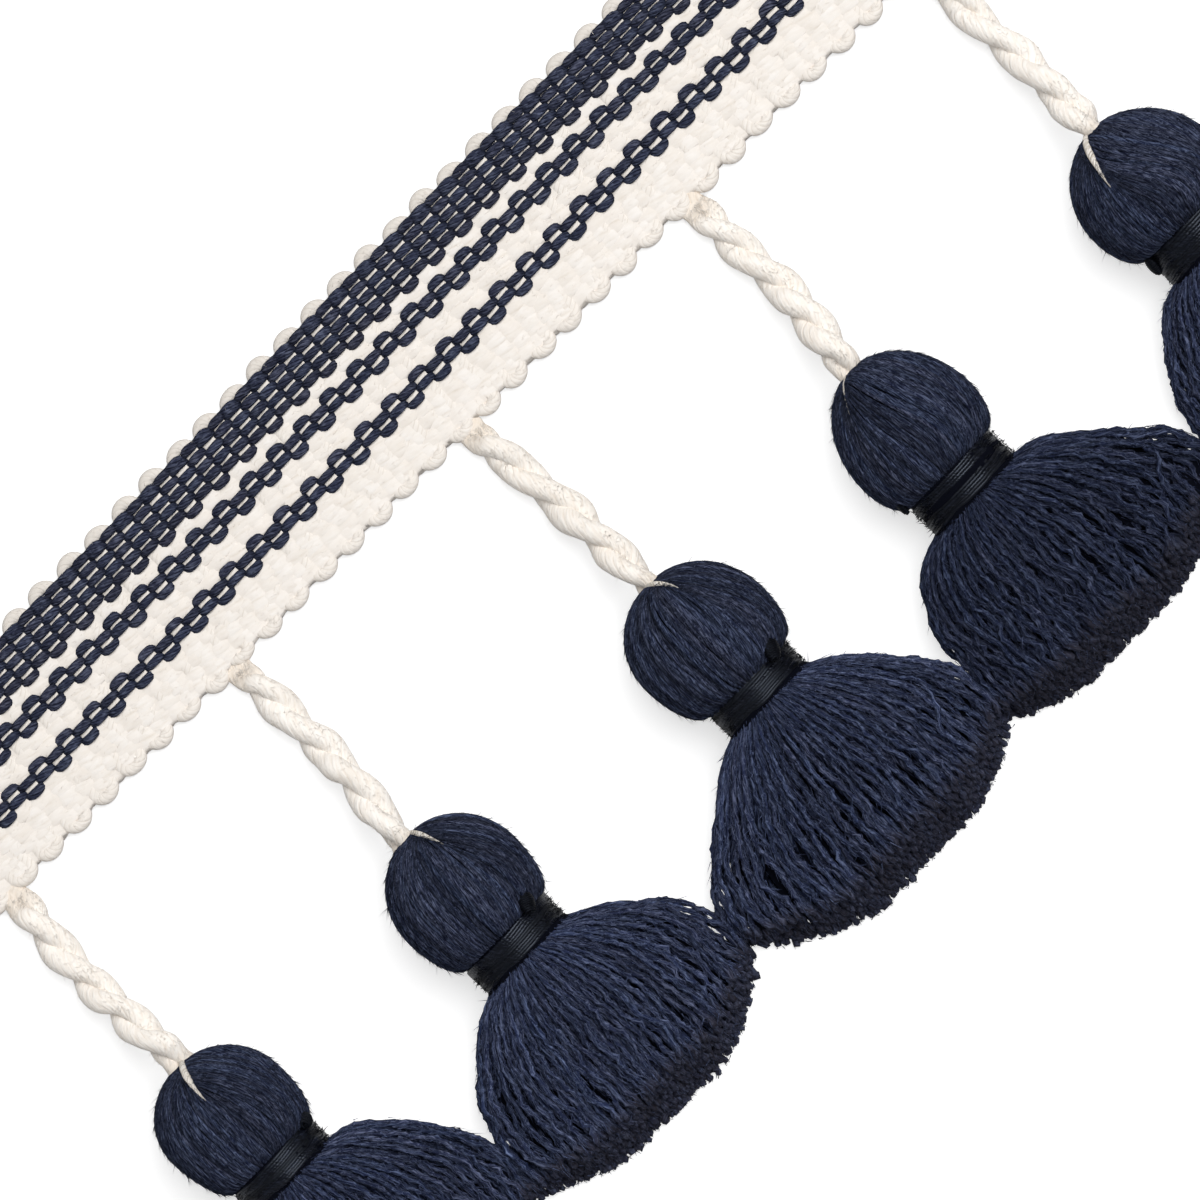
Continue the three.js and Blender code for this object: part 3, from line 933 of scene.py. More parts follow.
def head_profile(share, head):
    """The head's half width at a share of the way down it, as a part of its widest."""
    fullest, bluntness = head["fullest"], head["bluntness"]
    rest = 1 - np.clip(share / fullest, 0, 1)
    upper = (1 - rest**bluntness) ** (1 / bluntness)
    past = np.clip((share - fullest) / (1 - fullest), 0, 1)
    lower = HEAD_END_FRACTION + (1 - HEAD_END_FRACTION) * np.sqrt(1 - past**2)
    return np.where(share < fullest, upper, lower)


def head_place(head, neck, share, turn, out=0.0):
    """The point on the head at a share of the way down it and an angle round it from +X."""
    radius = head["width"] / 2 * head_profile(share, head) + out
    height = neck["top"] - GAP - head["top"]
    x = lerp(head["x"], neck["x"], share) + radius * np.cos(turn)
    z = lerp(HEAD_CENTRE_HEIGHT, NECK_CENTRE_HEIGHT, share**3) + HEAD_FLATTENING * radius * np.sin(turn)
    y = LOWER_EDGE_Y - head["top"] - height * share + 0 * turn
    return np.stack([x, y, np.maximum(z, HEAD_LEAST_HEIGHT)], axis=-1)


def parted(head, from_parting, along_parting):
    """Share down the head and angle round it for a yarn that leaves the parting at a slant.

    The parting is a line over the head's top, from front to back. from_parting is the angle
    travelled away from it and along_parting says which yarn, both in radians.
    """
    half_length = head["thread"]
    away = np.sin(from_parting)
    x = away * np.sin(along_parting)
    spread = away**2 * (1 - half_length**2) + half_length**2
    z = np.cos(along_parting) * np.sqrt(spread) * (1 - PARTING_SLANT * (1 - away))
    rise = np.sqrt(np.maximum(1 - x**2 - z**2, 0))
    turn = np.arctan2(z, x) - math.radians(head["parting"])
    return head["fullest"] * (1 - rise), turn


def combed(head, share, turn):
    """Gathers the yarns on the parting's +X side towards it, so that they run away from it slantwise."""
    away = math.radians(90 - head["parting"]) - turn[:, -1:]
    away = (away + np.pi) % (2 * np.pi) - np.pi
    weight = np.sin(np.pi * np.clip(away / math.radians(COMB_SPAN), 0, 1))
    return turn + math.radians(head["comb"]) * weight * (1 - smoothstep(0.05, 0.85, share))


def head_yarns(rng, head, neck):
    """The yarns over a head, from its parting to the neck, with their paths and outward ways."""
    which = (np.arange(HEAD_YARNS) + 0.5 + rng.uniform(-0.18, 0.18, HEAD_YARNS)) * 2 * np.pi / HEAD_YARNS
    upper = np.linspace(0.03, np.pi / 2, HEAD_UPPER_RINGS)
    share, turn = parted(head, upper[None], which[:, None])
    below = lerp(head["fullest"], 1.0, HEAD_LOWER_SHARES)[None] + 0 * which[:, None]
    share = np.concatenate([share, below], axis=1)
    turn = np.concatenate([turn, np.repeat(turn[:, -1:], len(HEAD_LOWER_SHARES), axis=1)], axis=1)
    turn = combed(head, share, turn)
    places = head_place(head, neck, share, turn)
    middle = head_place(head, neck, share, turn, out=-HEAD_SHELL)
    neighbour = np.linalg.norm(np.roll(places, 1, axis=0) - np.roll(places, -1, axis=0), axis=-1) / 4
    wide = np.clip(neighbour * HEAD_YARN_OVERLAP, *HEAD_YARN_HALF_WIDTHS)
    thick = np.clip(wide, *HEAD_YARN_HALF_THICKNESSES)
    ups = unit(places - middle)
    sunk = rng.uniform(*HEAD_YARN_SINK, (HEAD_YARNS, 1)) * thick
    wander = smooth_along(rng.normal(0, 0.45, wide.shape), 5)
    paths = places - ups * sunk[..., None] + np.cross(ups, [0, 1, 0]) * (wander * 0.25)[..., None]
    tuck = paths[:, -1] + (np.array([neck["x"], 0, NECK_CENTRE_HEIGHT]) - paths[:, -1]) * [0.2, 0, 0.2]
    tuck[:, 1] = LOWER_EDGE_Y - neck["top"] - 0.8
    paths = np.concatenate([paths, tuck[:, None]], axis=1)
    ups = np.concatenate([ups, ups[:, -1:]], axis=1)
    wide = np.concatenate([wide, wide[:, -1:] * 0.8], axis=1)
    thick = np.concatenate([thick, thick[:, -1:] * 0.8], axis=1)
    wound = sweep(paths, ups, wide, thick, round_section(6), roll=math.pi / 6,
                  shade=rng.uniform(0, 1, HEAD_YARNS), start=rng.uniform(0, 50, HEAD_YARNS))
    return wound, paths, ups


def core_rings(head, neck, skirt):
    """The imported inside's sections: middle, drop, half width and half height of each."""
    height = neck["top"] - GAP - head["top"]
    rows = []
    for share in CORE_HEAD_SHARES:
        radius = head["width"] / 2 * float(head_profile(share, head)) - CORE_HEAD_INSET
        middle = lerp(HEAD_CENTRE_HEIGHT, NECK_CENTRE_HEIGHT, share**3)
        x = lerp(head["x"], neck["x"], share)
        drop = head["top"] + height * share
        half_height = min(radius * HEAD_FLATTENING, middle - CORE_LEAST_HEIGHT["head"])
        rows.append((x, middle, drop, radius, half_height))
    waist = neck["width"] / 2 - CORE_NECK_INSET
    for drop in (neck["top"] + 0.1, neck["end"] - 0.4):
        rows.append((neck["x"], NECK_CENTRE_HEIGHT, drop, waist, waist * NECK_FLATTENING))
    start = neck["end"] + GAP
    for along in CORE_SKIRT_SHARES:
        outline = skirt_outline(neck, skirt, along)
        later = skirt_outline(neck, skirt, min(along / (1 - TOP_LAG) + 0.04, 1))
        lag = (skirt["left_lag"] + skirt["right_lag"]) / 2
        left_over = CORE_END - along
        width = (outline["left"] + outline["right"]) / 2 * min(1, math.sqrt(left_over / lag))
        top = later["middle"] + later["half"] - CORE_SKIRT_INSET["top"]
        top = min(top, SKIRT_THICKNESS * left_over / TOP_LAG)
        bottom = outline["middle"] - outline["half"] + CORE_SKIRT_INSET["bottom"]
        bottom = max(bottom, CORE_LEAST_HEIGHT["skirt"])
        x = neck["x"] + (outline["right"] - outline["left"]) / 2
        drop = start + (skirt["hem"] - start) * along
        rows.append((x, (top + bottom) / 2, drop, width - CORE_SKIRT_INSET["side"], (top - bottom) / 2))
    return rows


def make_core(number, head, neck, skirt, material):
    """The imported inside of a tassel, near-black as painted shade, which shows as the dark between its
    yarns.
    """
    bpy.ops.object.select_all(action="DESELECT")
    last = None
    for x, z, drop, wide, high in np.array(core_rings(head, neck, skirt)) * MM:
        y = LOWER_EDGE_Y * MM - drop
        if last is None:
            bpy.ops.mesh.primitive_circle_add(vertices=28, radius=wide, fill_type="NGON",
                                              location=(x, y, z), rotation=(math.pi / 2, 0, 0))
            piece = bpy.context.object
            bpy.ops.object.transform_apply()
            edit_all()
            grow = (1, 1, high / wide)
        else:
            move = (x - last[0], y - last[1], z - last[2])
            bpy.ops.mesh.extrude_region_move(TRANSFORM_OT_translate={"value": move})
            grow = (wide / last[3], 1, high / last[4])
        bpy.ops.transform.resize(value=grow, center_override=(x, y, z))
        last = (x, y, z, wide, high)
    close_edit()
    piece.name = f"tassel_core_{number}"
    finish_piece(piece, material)


def make_parting_thread(rng, number, head, neck, material):
    """The tapered end of cotton that lies in the head's parting."""
    reach = np.linspace(0.0, 1.0, 12)
    angle = reach * np.arcsin(head["thread"])
    share = head["fullest"] * (1 - np.cos(angle))
    turn = np.full(len(reach), np.pi / 2 - math.radians(head["parting"]))
    places = head_place(head, neck, share, turn)
    ups = unit(places - head_place(head, neck, share, turn, out=-HEAD_SHELL))
    ups[0] = ups[1]
    places = places + ups * 0.08
    places[:, 0] += 0.15 * np.sin(reach * 5 + number) + head["thread_from"] * (1 - reach)
    wide = head["thread_wide"] * np.interp(reach, [0.0, 0.55, 1.0], [0.85, 1.0, 0.10])
    strand = sweep(places[None], ups[None], wide[None], np.minimum(wide, 0.45)[None], round_section(8),
                   start=rng.uniform(0, 20, 1))
    return yarn_piece(f"parting_thread_{number}", [strand], material)


# ---------------------------------------------------------------- skirts


def skirt_outline(neck, skirt, along):
    """The skirt's section: its reach to both sides, and the middle and half height of its oval."""
    waist = neck["width"] / 2 + (SHOULDER if along > 0 else -NECK_WAIST)
    open_share = 1 - (1 - max(along, 0)) ** np.array([skirt["left_dome"], skirt["right_dome"]])
    reach = lerp(waist, np.array([neck["x"] - skirt["left"], skirt["right"] - neck["x"]]), open_share)
    middle = lerp(NECK_CENTRE_HEIGHT - 0.4, SKIRT_EDGE_HEIGHT, max(along, 0) ** 0.6)
    top = SKIRT_THICKNESS * follow(SKIRT_PROFILE, "along", "thickness", along)
    half = waist * NECK_FLATTENING if along < 0 else top - middle
    return {"x": neck["x"], "left": reach[0], "right": reach[1], "middle": middle, "half": half}


def by_side(x, values, what=""):
    """What holds on each point's own side: left of x = 0 or right of it."""
    return np.where(x < 0, values["left" + what], values["right" + what])


def kept_inside(points, outline, radius):
    """Moves points back inside a section, each clear of its edge by its own radius."""
    x = points[:, 0] - outline["x"]
    reach = by_side(x, outline) - radius
    z = points[:, 1] - outline["middle"]
    over = np.maximum(np.hypot(x / reach, z / (outline["half"] - radius)), 1)
    inside = np.stack([outline["x"] + x / over, outline["middle"] + z / over], axis=1)
    inside[:, 1] = np.maximum(inside[:, 1], radius)
    return inside


def settle(points, radius, inset, outline):
    """Pushes overlapping yarns apart, so that they lie packed in the section."""
    for _ in range(SETTLE_ROUNDS):
        between = points[:, None] - points[None]
        distance = np.hypot(between[..., 0], between[..., 1]) + np.eye(len(points)) * 99
        overlap = np.clip(2 * radius - distance, 0, None)
        push = (between * (overlap / distance)[..., None]).sum(axis=1) * 0.38
        points = kept_inside(points + push, outline, radius + inset)
    return points


def skirt_courses(rng, neck, skirt):
    """Where every yarn passes through each section of the skirt, from the neck to the hem."""
    levels = np.concatenate([[-0.03], np.linspace(0.0, 1.0, SKIRT_LEVELS - 1)])
    number = np.arange(SKIRT_YARNS) + 0.5
    spot_radius, spot_angle = np.sqrt(number / SKIRT_YARNS), number * GOLDEN_ANGLE
    outline = skirt_outline(neck, skirt, levels[0])
    points = np.stack([
        outline["x"] + outline["left"] * spot_radius * np.cos(spot_angle),
        outline["middle"] + outline["half"] * spot_radius * np.sin(spot_angle),
    ], axis=1)
    phase = rng.uniform(0, 2 * np.pi, (SKIRT_YARNS, 2, 2))
    rate = rng.uniform(0.7, 1.4, (SKIRT_YARNS, 1, 1)) * np.array([11.0, 19.0])
    locks = np.sort(rng.uniform(-1, 1, SKIRT_LOCKS))
    inset = rng.uniform(-0.25, 0.2, SKIRT_YARNS)
    courses = []
    for along in levels:
        previous, outline = outline, skirt_outline(neck, skirt, along)
        x = points[:, 0] - previous["x"]
        across = x / by_side(x, previous)
        rise = (points[:, 1] - previous["middle"]) / previous["half"]
        waver = skirt["unruly"] * 0.13 * smoothstep(0.05, 0.7, along)
        drift = (np.sin(rate * along + phase) * waver).sum(axis=2)
        nearest = locks[np.abs(across[:, None] - locks).argmin(axis=1)]
        gather = (nearest - across) * 0.012 * smoothstep(0.45, 0.9, along)
        points = np.stack([
            outline["x"] + (across + gather) * by_side(x, outline) + drift[:, 0],
            outline["middle"] + rise * outline["half"] + drift[:, 1],
        ], axis=1)
        radius = packed_radius(outline)
        loose = (inset - FRAY) * smoothstep(-0.02, 0.25, along)
        points = settle(points, radius, loose, outline)
        courses.append(np.column_stack([points, np.full(SKIRT_YARNS, radius)]))
    return levels, np.array(courses).transpose(1, 0, 2)


def packed_radius(outline):
    """The radius at which the yarns fill a section, up to that of a relaxed yarn."""
    low = max(outline["middle"] - outline["half"], 0)
    high = outline["middle"] + outline["half"]
    area = (outline["left"] + outline["right"]) * (high - low) * 0.80
    return min(YARN_RADIUS, math.sqrt(0.82 * area / (SKIRT_YARNS * math.pi)))


def skirt_paths(rng, neck, skirt, levels, courses):
    """The yarns' lines. All are one length, so those at the sides and on top end higher up."""
    x, z, radius = courses[..., 0], courses[..., 1], courses[..., 2]
    off = x - neck["x"]
    reach = np.where(off < 0, neck["x"] - skirt["left"], skirt["right"] - neck["x"])
    side = np.clip(np.abs(off) / reach, 0, 1)
    side_lag = by_side(off, skirt, "_lag") * np.clip((side - 0.35) / 0.65, 0, 1) ** 1.5
    lag = side_lag + TOP_LAG * np.minimum(z / SKIRT_THICKNESS, 1)
    lift = by_side(off, skirt, "_lift") * side[:, -1:] ** 2
    lift = (lift + SHOULDER_LIFT) * smoothstep(0, 0.04, levels) * (1 - smoothstep(0.04, 0.45, levels))
    start = neck["end"] + GAP
    cut = rng.normal(1.0, 0.007, (len(x), 1))
    run = (skirt["hem"] - start) * levels[None] * np.where(levels > 0, cut, 1)
    y = LOWER_EDGE_Y - start - run * (1 - np.where(run > 0, lag, 0)) + lift
    paths = np.stack([x, y, z], axis=-1)
    for _ in range(2):
        paths[:, 1:-1] = (paths[:, :-2] + 2 * paths[:, 1:-1] + paths[:, 2:]) / 4
    return paths, radius


def skirt_yarns(rng, neck, skirt):
    """The skirt's yarns: full ones where they show from above, plainer ones below and inside."""
    levels, courses = skirt_courses(rng, neck, skirt)
    paths, radius = skirt_paths(rng, neck, skirt, levels, courses)
    depth = depth_below_surface(neck, skirt, levels, courses)
    bottom = courses[..., 1].min(axis=1) < UNDERSIDE_HEIGHT
    shown = depth.min(axis=1) < SHOWN_DEPTH
    below = ~shown & bottom
    inner = ~shown & ~bottom
    waves = 2 * np.pi * paths[:, -1, 0]
    zone = 2 + np.sin(waves / SKIRT_ZONES[0]) + np.sin(waves / SKIRT_ZONES[1] + 2)
    bundles = []
    for chosen, rings, crowd in ((shown, 30, 1.15), (below, 14, 1.7), (inner, 9, 2.0)):
        strand = resample(paths[chosen], rings, crowd)
        size = resample(radius[chosen][..., None], rings, crowd)[..., 0]
        run = run_along(strand)
        if crowd < 2:
            strand = strand + crimp(rng, run, skirt["unruly"])
        strand[..., 2] = np.maximum(strand[..., 2], YARN_LEAST_HEIGHT)
        bundles.append(twisted_yarns(rng, strand, size, run, zone[chosen], 1 - skirt["dark"]))
    return bundles, paths, shown


def twisted_yarns(rng, strand, size, run, zone, brightness):
    """Two-ply yarns that twist along their paths and open at their cut ends."""
    count = len(strand)
    turn = rng.uniform(*YARN_TURN, (count, 1))
    roll = 2 * np.pi * run / turn + rng.uniform(0, 6, (count, 1))
    cut = smoothstep(run[:, -1:] - CUT_START, run[:, -1:] - CUT_FULL, run)
    size = size * lerp(YARN_SWELL, rng.uniform(*CUT_SWELL, (count, 1)), cut)
    size[:, -1] *= 0.7
    shade = (rng.uniform(0, 0.36, count) + 0.075 * zone) * brightness
    return sweep(strand, UP + [0.1, 0, 0], size, size, two_ply_section(6), roll=roll, cut=cut,
                 shade=shade, start=rng.uniform(0, 60, count))


def crimp(rng, run, unruly):
    """Kinks that the yarns keep from their twist, growing away from the neck."""
    grow = smoothstep(1, 14, run)[..., None] * unruly
    wave = rng.uniform(*CRIMP_WAVE, (len(run), 1))
    sway = CRIMP_SWAY * np.sin(2 * np.pi * run / wave + rng.uniform(0, 6, (len(run), 1)))
    kinks = rng.normal(0, CRIMP_KINK, run.shape + (3,)) * [1, 0, 1]
    kinks[..., 0] += sway
    return kinks * grow


def depth_below_surface(neck, skirt, levels, courses):
    """How far each yarn lies below the skirt's upper surface at every level."""
    depth = np.empty(courses.shape[:2])
    for level, along in enumerate(levels):
        outline = skirt_outline(neck, skirt, along)
        x = courses[:, level, 0] - outline["x"]
        rim = np.sqrt(np.clip(1 - (x / by_side(x, outline)) ** 2, 0, 1))
        depth[:, level] = outline["middle"] + outline["half"] * rim - courses[:, level, 1]
    return depth


def head_fuzz(rng, paths, ups):
    """Loose fibres that lie along a head's yarns."""
    pick = rng.integers(0, HEAD_YARNS, HEAD_HAIRS), rng.integers(1, paths.shape[1] - 2, HEAD_HAIRS)
    flow = unit(paths[pick[0], pick[1] + 1] - paths[pick])
    splay = rng.choice(HEAD_SPLAYS, (HEAD_HAIRS, 1))
    way = unit(flow + ups[pick] * splay + rng.normal(0, 1, (HEAD_HAIRS, 3)) * splay)
    across = np.cross(flow, ups[pick]) * rng.uniform(-0.3, 0.3, (HEAD_HAIRS, 1))
    return hairs(rng, paths[pick] + ups[pick] * 0.28 + across, way, 1.4, 0.045, (0.0, 0.9))


def hem_tufts(rng, paths):
    """The fibres into which each cut end opens."""
    ends = np.repeat(paths[:, -1], HEM_TUFT, axis=0)
    ways = np.repeat(unit(paths[:, -1] - paths[:, -2]), HEM_TUFT, axis=0)
    spread = unit(ways + rng.normal(0, 0.6, ways.shape))
    jitter = rng.normal(0, 0.32, ends.shape) * [1, 0.3, 1]
    tuft = hairs(rng, ends + jitter - spread * 0.5, spread, 0.8, 0.08, (0.1, 0.9))
    tuft["cut"] += rng.uniform(0.3, 1.4, tuft["cut"].shape)
    return tuft


def skirt_fuzz(rng, paths, shown, brightness):
    """Loose fibres over the yarns that show from above."""
    top = np.flatnonzero(shown)
    pick = rng.choice(top, SKIRT_HAIRS), rng.integers(1, paths.shape[1] - 1, SKIRT_HAIRS)
    flow = unit(paths[pick] - paths[pick[0], pick[1] - 1])
    splay = rng.choice(SKIRT_SPLAYS, (SKIRT_HAIRS, 1))
    way = unit(flow + UP * splay + rng.normal(0, 1, (SKIRT_HAIRS, 3)) * splay)
    over = rng.normal(0, 0.2, (SKIRT_HAIRS, 3)) + UP * 0.4
    along = flow * rng.uniform(0, 1, (SKIRT_HAIRS, 1))
    return hairs(rng, paths[pick] + over - along, way, 1.7, 0.06, (0.2, brightness))


def make_tassel(rng, number, head, neck, skirt, head_material, skirt_material):
    """One tassel's head and skirt."""
    wound, head_paths, ups = head_yarns(rng, head, neck)
    loose = head_fuzz(rng, head_paths, ups)
    yarn_piece(f"head_{number}", [wound, loose], head_material)
    bundles, paths, shown = skirt_yarns(rng, neck, skirt)
    bundles.append(hem_tufts(rng, paths))
    bundles.append(skirt_fuzz(rng, paths, shown, 1 - skirt["dark"]))
    piece = yarn_piece(f"skirt_{number}", bundles, skirt_material)
    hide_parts(f"tassel_{number}")


# ---------------------------------------------------------------- bindings


def wind_band(rng, neck, band, wander):
    """One band of thread: a round section screwed along the neck, made uneven and laid down."""
    room = (neck["end"] - neck["top"]) / neck["bands"]
    turns = int((room - GAP) / THREAD_PITCH)
    radius = neck["width"] / 2 - THREAD_RADIUS - SECOND_BAND_INSET * (band % 2)
    bpy.ops.object.select_all(action="DESELECT")
    bpy.ops.mesh.primitive_circle_add(vertices=THREAD_CORNERS, radius=THREAD_RADIUS * MM,
                                      rotation=(math.pi / 2, 0, 0), location=(radius * MM, 0, 0))
    piece = bpy.context.object
    bpy.ops.object.transform_apply()
    wind = piece.modifiers.new("wind", "SCREW")
    wind.screw_offset = (room - GAP) / turns * MM
    wind.iterations = turns
    wind.steps = wind.render_steps = THREAD_STEPS
    bpy.ops.object.modifier_apply(modifier=wind.name)
    mark_thread(rng, piece, turns, radius)
    for direction, strength in THREAD_WANDER.items():
        uneven = piece.modifiers.new("uneven", "DISPLACE")
        uneven.texture = wander
        uneven.texture_coords = "LOCAL"
        uneven.direction = direction
        uneven.strength = strength * MM
        bpy.ops.object.modifier_apply(modifier=uneven.name)
    piece.rotation_euler = (-math.pi / 2, 0, 0)
    bpy.ops.object.transform_apply()
    edit_all()
    bpy.ops.mesh.fill_holes(sides=THREAD_CORNERS)
    bpy.ops.mesh.normals_make_consistent(inside=False)
    bpy.ops.transform.resize(value=(1, 1, NECK_FLATTENING), center_override=(0, 0, 0))
    low = -(neck["end"] - GAP - band * room) + LOWER_EDGE_Y
    lift = (neck["x"] * MM, low * MM, NECK_CENTRE_HEIGHT * MM)
    bpy.ops.transform.translate(value=lift)
    bpy.ops.object.mode_set(mode="OBJECT")
    bpy.ops.object.shade_smooth()
    return piece


def make_binding(rng, number, neck, material):
    """Thread wound round the neck in one band or more."""
    wander = bpy.data.textures.new(f"thread_wander_{number}", "CLOUDS")
    wander.noise_scale = THREAD_WANDER_SIZE * MM
    bands = [wind_band(rng, neck, band, wander) for band in range(neck["bands"])]
    bpy.ops.object.select_all(action="DESELECT")
    for piece in bands:
        piece.select_set(True)
    wound = bands[0]
    bpy.context.view_layer.objects.active = wound
    if len(bands) > 1:
        bpy.ops.object.join()
    wound.name = f"binding_{number}"
    finish_piece(wound, material)
    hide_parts(f"neck_binding_{number}")


def mark_thread(rng, piece, turns, radius):
    """Gives a wound thread its map, and turns that differ: the paler ones stand out further."""
    mesh = piece.data
    ring = np.arange(len(mesh.vertices)) // THREAD_CORNERS
    tones = np.interp(ring / THREAD_STEPS, np.arange(turns + 1), rng.uniform(0, 1, turns + 1))
    shade = mesh.attributes.new("shade", "FLOAT", "POINT")
    shade.data.foreach_set("value", tones.astype(np.float32))
    points = np.empty(len(mesh.vertices) * 3, np.float32)
    mesh.vertices.foreach_get("co", points)
    points = points.reshape(-1, 3)
    points[:, :2] *= (1 + TURN_STAND * (tones - 1) / radius)[:, None]
    mesh.vertices.foreach_set("co", points.ravel())
    index = np.empty(len(mesh.loops), np.int32)
    mesh.loops.foreach_get("vertex_index", index)
    corner = (index % THREAD_CORNERS).reshape(-1, 4)
    at_seam = np.ptp(corner, axis=1) > 1
    corner[at_seam] += np.where(corner[at_seam] == 0, THREAD_CORNERS, 0)
    along = index // THREAD_CORNERS * 2 * np.pi * radius / THREAD_STEPS
    yarn_map = np.column_stack([corner.ravel() / THREAD_CORNERS, along])
    mesh.uv_layers.new(name="Yarn").data.foreach_set("uv", yarn_map.ravel().astype(np.float32))


def make_binding_fuzz(rng, number, neck, material):
    """Short loose fibres of the binding, most of them at its two sides."""
    around = rng.choice([0.0, math.pi], BINDING_HAIRS) + rng.normal(0, 0.45, BINDING_HAIRS)
    out = np.stack([np.cos(around), np.zeros(BINDING_HAIRS), np.sin(around) * NECK_FLATTENING], axis=-1)
    along = np.stack([-np.sin(around), np.zeros(BINDING_HAIRS), np.cos(around)], axis=-1)
    drop = rng.uniform(neck["top"] + 0.2, neck["end"] - 0.2, BINDING_HAIRS)
    middle = [neck["x"], LOWER_EDGE_Y, NECK_CENTRE_HEIGHT]
    roots = out * (neck["width"] / 2 - BINDING_FUZZ_INSET) + middle
    roots[:, 1] -= drop
    way = unit(along * rng.choice([-1, 1], (BINDING_HAIRS, 1)) + rng.normal(0, 0.2, (BINDING_HAIRS, 3)))
    loose = hairs(rng, roots, way, 1.3, 0.08, (0.0, 1.0))
    yarn_piece(f"binding_fuzz_{number}", [loose], material)


def make_knot(row, neck, material):
    """A tucked knot: a few short turns of thread round a leaning axis."""
    around = math.radians(row["around"])
    radius = neck["width"] / 2 + row["raise"]
    centre = np.array([
        neck["x"] + radius * math.cos(around),
        LOWER_EDGE_Y - row["drop"],
        NECK_CENTRE_HEIGHT + NECK_FLATTENING * radius * math.sin(around),
    ])
    out = np.array([math.cos(around), 0, math.sin(around)])
    round_way = np.array([-math.sin(around), 0, math.cos(around)])
    lean = math.radians(row["lean"])
    axis = unit(np.array([0, 1.0, 0]) * math.cos(lean) - round_way * math.sin(lean))
    other = np.cross(axis, out)
    turns = row["long"] / (KNOT_TURN_SPACING * KNOT_THREAD_RADIUS)
    turn = np.linspace(0, turns * 2 * np.pi, KNOT_POINTS)
    swell = 0.25 + 0.75 * np.sqrt(np.sin(np.clip(turn / turn[-1], 0, 1) * np.pi))
    reach = (row["wide"] / 2 - KNOT_THREAD_RADIUS) * swell
    slide = (turn / turn[-1] - 0.5) * row["long"]
    path = (centre + out * 0.15 + axis * slide[:, None]
            + out * (reach * KNOT_FLATTENING * np.cos(turn))[:, None]
            + other * (reach * np.sin(turn))[:, None])
    strand = sweep(path[None], axis, KNOT_THREAD_RADIUS, KNOT_THREAD_RADIUS, round_section(6))
    yarn_piece(f"binding_knot_{row['tassel']}", [strand], material)


# ---------------------------------------------------------------- floor, light and camera


def make_floor():
    """A pale floor whose far rim curves up, so that a low view also sees a pale ground."""
    bpy.ops.object.select_all(action="DESELECT")
    bpy.ops.mesh.primitive_circle_add(vertices=96, radius=FLOOR_RADIUS, fill_type="NGON")
    floor = bpy.context.object
    floor.name = "floor"
    edit_all()
    bpy.ops.mesh.delete(type="ONLY_FACE")
    bpy.ops.mesh.select_all(action="SELECT")
    radius = FLOOR_RADIUS
    for angle in range(RIM_STEP, 91, RIM_STEP):
        bend = math.radians(angle)
        grown = FLOOR_RADIUS + RIM_RADIUS * math.sin(bend)
        rise = RIM_RADIUS * (math.cos(bend - math.radians(RIM_STEP)) - math.cos(bend))
        bpy.ops.mesh.extrude_region_move(TRANSFORM_OT_translate={"value": (0, 0, rise)})
        bpy.ops.transform.resize(value=(grown / radius, grown / radius, 1), center_override=(0, 0, 0))
        radius = grown
    bpy.ops.mesh.select_all(action="DESELECT")
    bpy.ops.object.mode_set(mode="OBJECT")
    for edge in floor.data.edges:
        edge.select = all(abs(floor.data.vertices[i].co.z) < 1e-6 for i in edge.vertices)
    bpy.ops.object.mode_set(mode="EDIT")
    bpy.ops.mesh.fill()
    close_edit(inside=True)
    floor.data.materials.append(floor_material())


def floor_material():
    """White paper that looks lit through from below, without lighting the trim from there."""
    material = bpy.data.materials.new("pale_floor")
    material.use_nodes = True
    tree = material.node_tree
    shader = tree.nodes["Principled BSDF"]
    finish = {
        "Base Color": (FLOOR_GREY, FLOOR_GREY, FLOOR_GREY, 1), "Roughness": 0.9,
        "Specular IOR Level": 0.0, "Emission Color": (1, 1, 1, 1),
    }
    for socket, value in finish.items():
        shader.inputs[socket].default_value = value
    seen = node(tree, "ShaderNodeLightPath").outputs["Is Camera Ray"]
    tree.links.new(maths(tree, "MULTIPLY", seen, FLOOR_GLOW), shader.inputs["Emission Strength"])
    return material


def make_lights():
    """An even white sky, and one large softbox above and to one side."""
    world = bpy.data.worlds.new("studio")
    bpy.context.scene.world = world
    world.use_nodes = True
    sky = world.node_tree.nodes["Background"]
    sky.inputs["Color"].default_value = (1, 1, 1, 1)
    sky.inputs["Strength"].default_value = SKY_STRENGTH
    light = bpy.data.lights.new("softbox", "AREA")
    light.shape = "RECTANGLE"
    light.size = light.size_y = SOFTBOX_SIZE
    light.energy = SOFTBOX_POWER
    box = bpy.data.objects.new("softbox", light)
    box.location = SOFTBOX_PLACE
    box.rotation_euler = (math.radians(SOFTBOX_TILT[0]), math.radians(SOFTBOX_TILT[1]), 0)
    bpy.context.collection.objects.link(box)


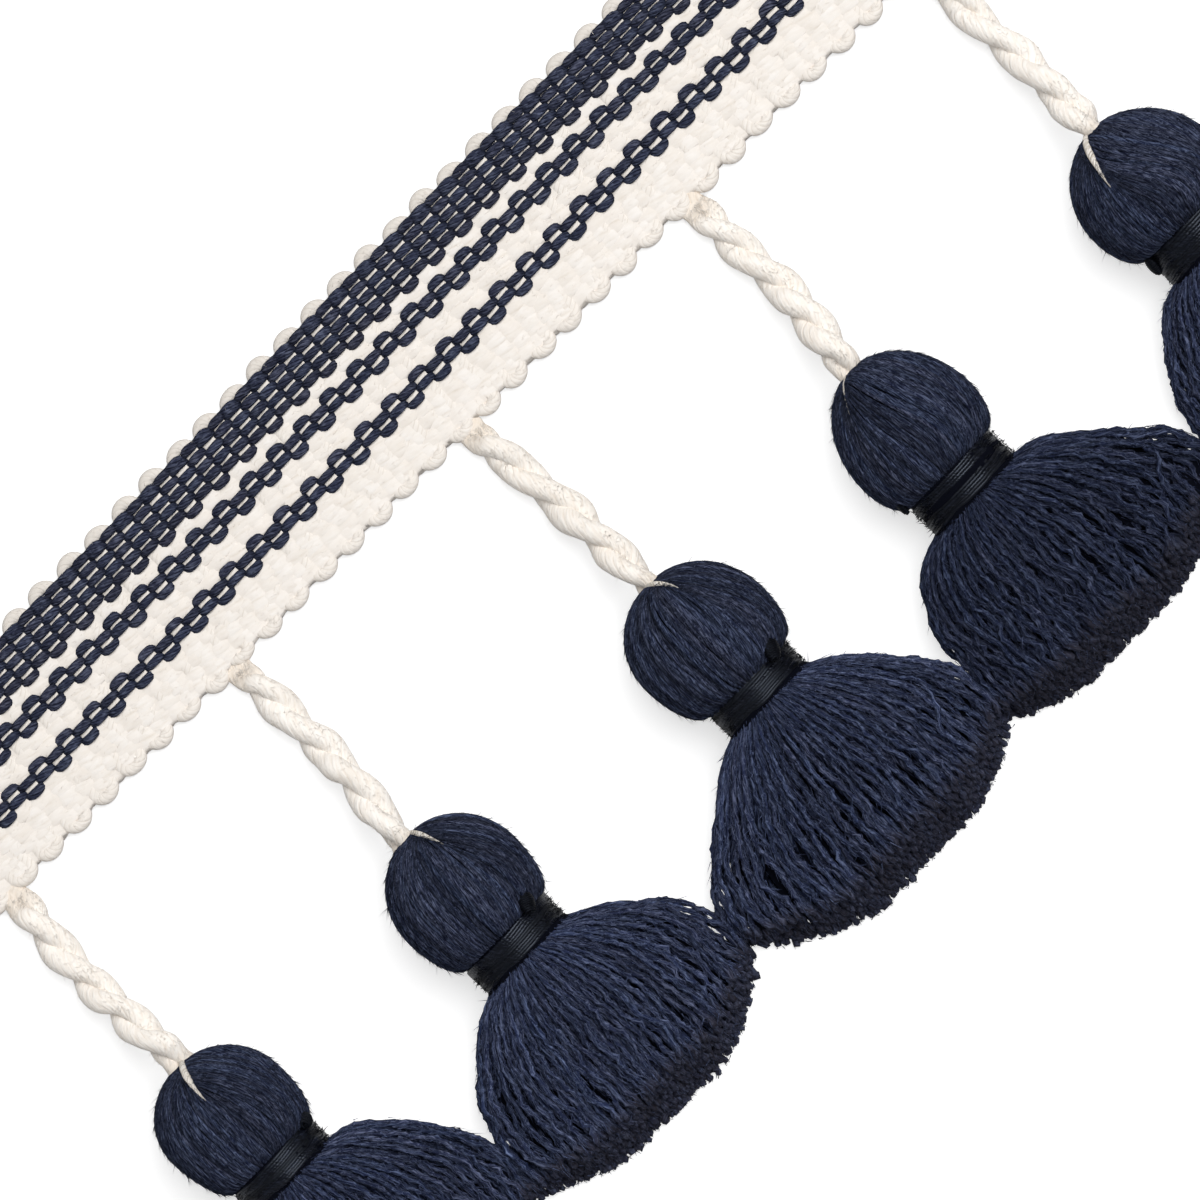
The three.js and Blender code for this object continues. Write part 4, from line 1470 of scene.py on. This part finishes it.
def make_camera():
    """Straight above, with the band running from lower left to upper right."""
    data = bpy.data.cameras.new("camera")
    data.lens = CAMERA_LENS
    camera = bpy.data.objects.new("camera", data)
    bpy.context.collection.objects.link(camera)
    distance = VIEW_WIDTH / data.sensor_width * data.lens
    camera.location = (*CAMERA_PLACE, distance + VIEW_HEIGHT_ABOVE_SURFACE)
    camera.rotation_euler = (0, 0, math.radians(CAMERA_TURN))
    bpy.context.scene.camera = camera
    bpy.context.scene.view_settings.view_transform = "Standard"


# ---------------------------------------------------------------- the trim


def make_trim():
    """Every piece of the trim, in the order in which the random draws are made."""
    rng = np.random.default_rng(SEED)
    twist = make_twist_group()
    looks = {
        "navy_skirt_yarn": NAVY_YARN, "navy_head_yarn": NAVY_HEAD, "navy_warp_yarn": NAVY_WARP,
        "cream_warp_yarn": CREAM_WARP, "cream_weft_yarn": CREAM_WEFT, "cream_cord_yarn": CREAM_CORD,
        "cream_parting_thread": CREAM_THREAD, "dark_binding_thread": DARK_THREAD,
        "dark_knot_thread": DARK_KNOT, "packed_navy_painted_shade": PACKED_NAVY_PAINTED_SHADE,
    }
    made = {name: yarn_material(name, twist, look) for name, look in looks.items()}
    weft = make_weft(rng, made["cream_weft_yarn"])
    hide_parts("braid")
    navy = make_warps(rng, "navy", made["navy_warp_yarn"])
    cream = make_warps(rng, "cream", made["cream_warp_yarn"])
    for number, (cord, head, neck, skirt) in enumerate(zip(CORDS, HEADS, NECKS, SKIRTS), start=1):
        rope, line, length = make_cord(rng, number, cord, head, made["cream_cord_yarn"])
        thread = make_parting_thread(rng, number, head, neck, made["cream_parting_thread"])
        make_tassel(rng, number, head, neck, skirt, made["navy_head_yarn"], made["navy_skirt_yarn"])
        make_core(number, head, neck, skirt, made["packed_navy_painted_shade"])
        make_binding(rng, number, neck, made["dark_binding_thread"])
        make_binding_fuzz(rng, number, neck, made["dark_knot_thread"])
    for row in KNOTS:
        make_knot(row, NECKS[row["tassel"] - 1], made["dark_knot_thread"])


make_trim()
make_floor()
make_lights()
make_camera()
bpy.context.view_layer.update()
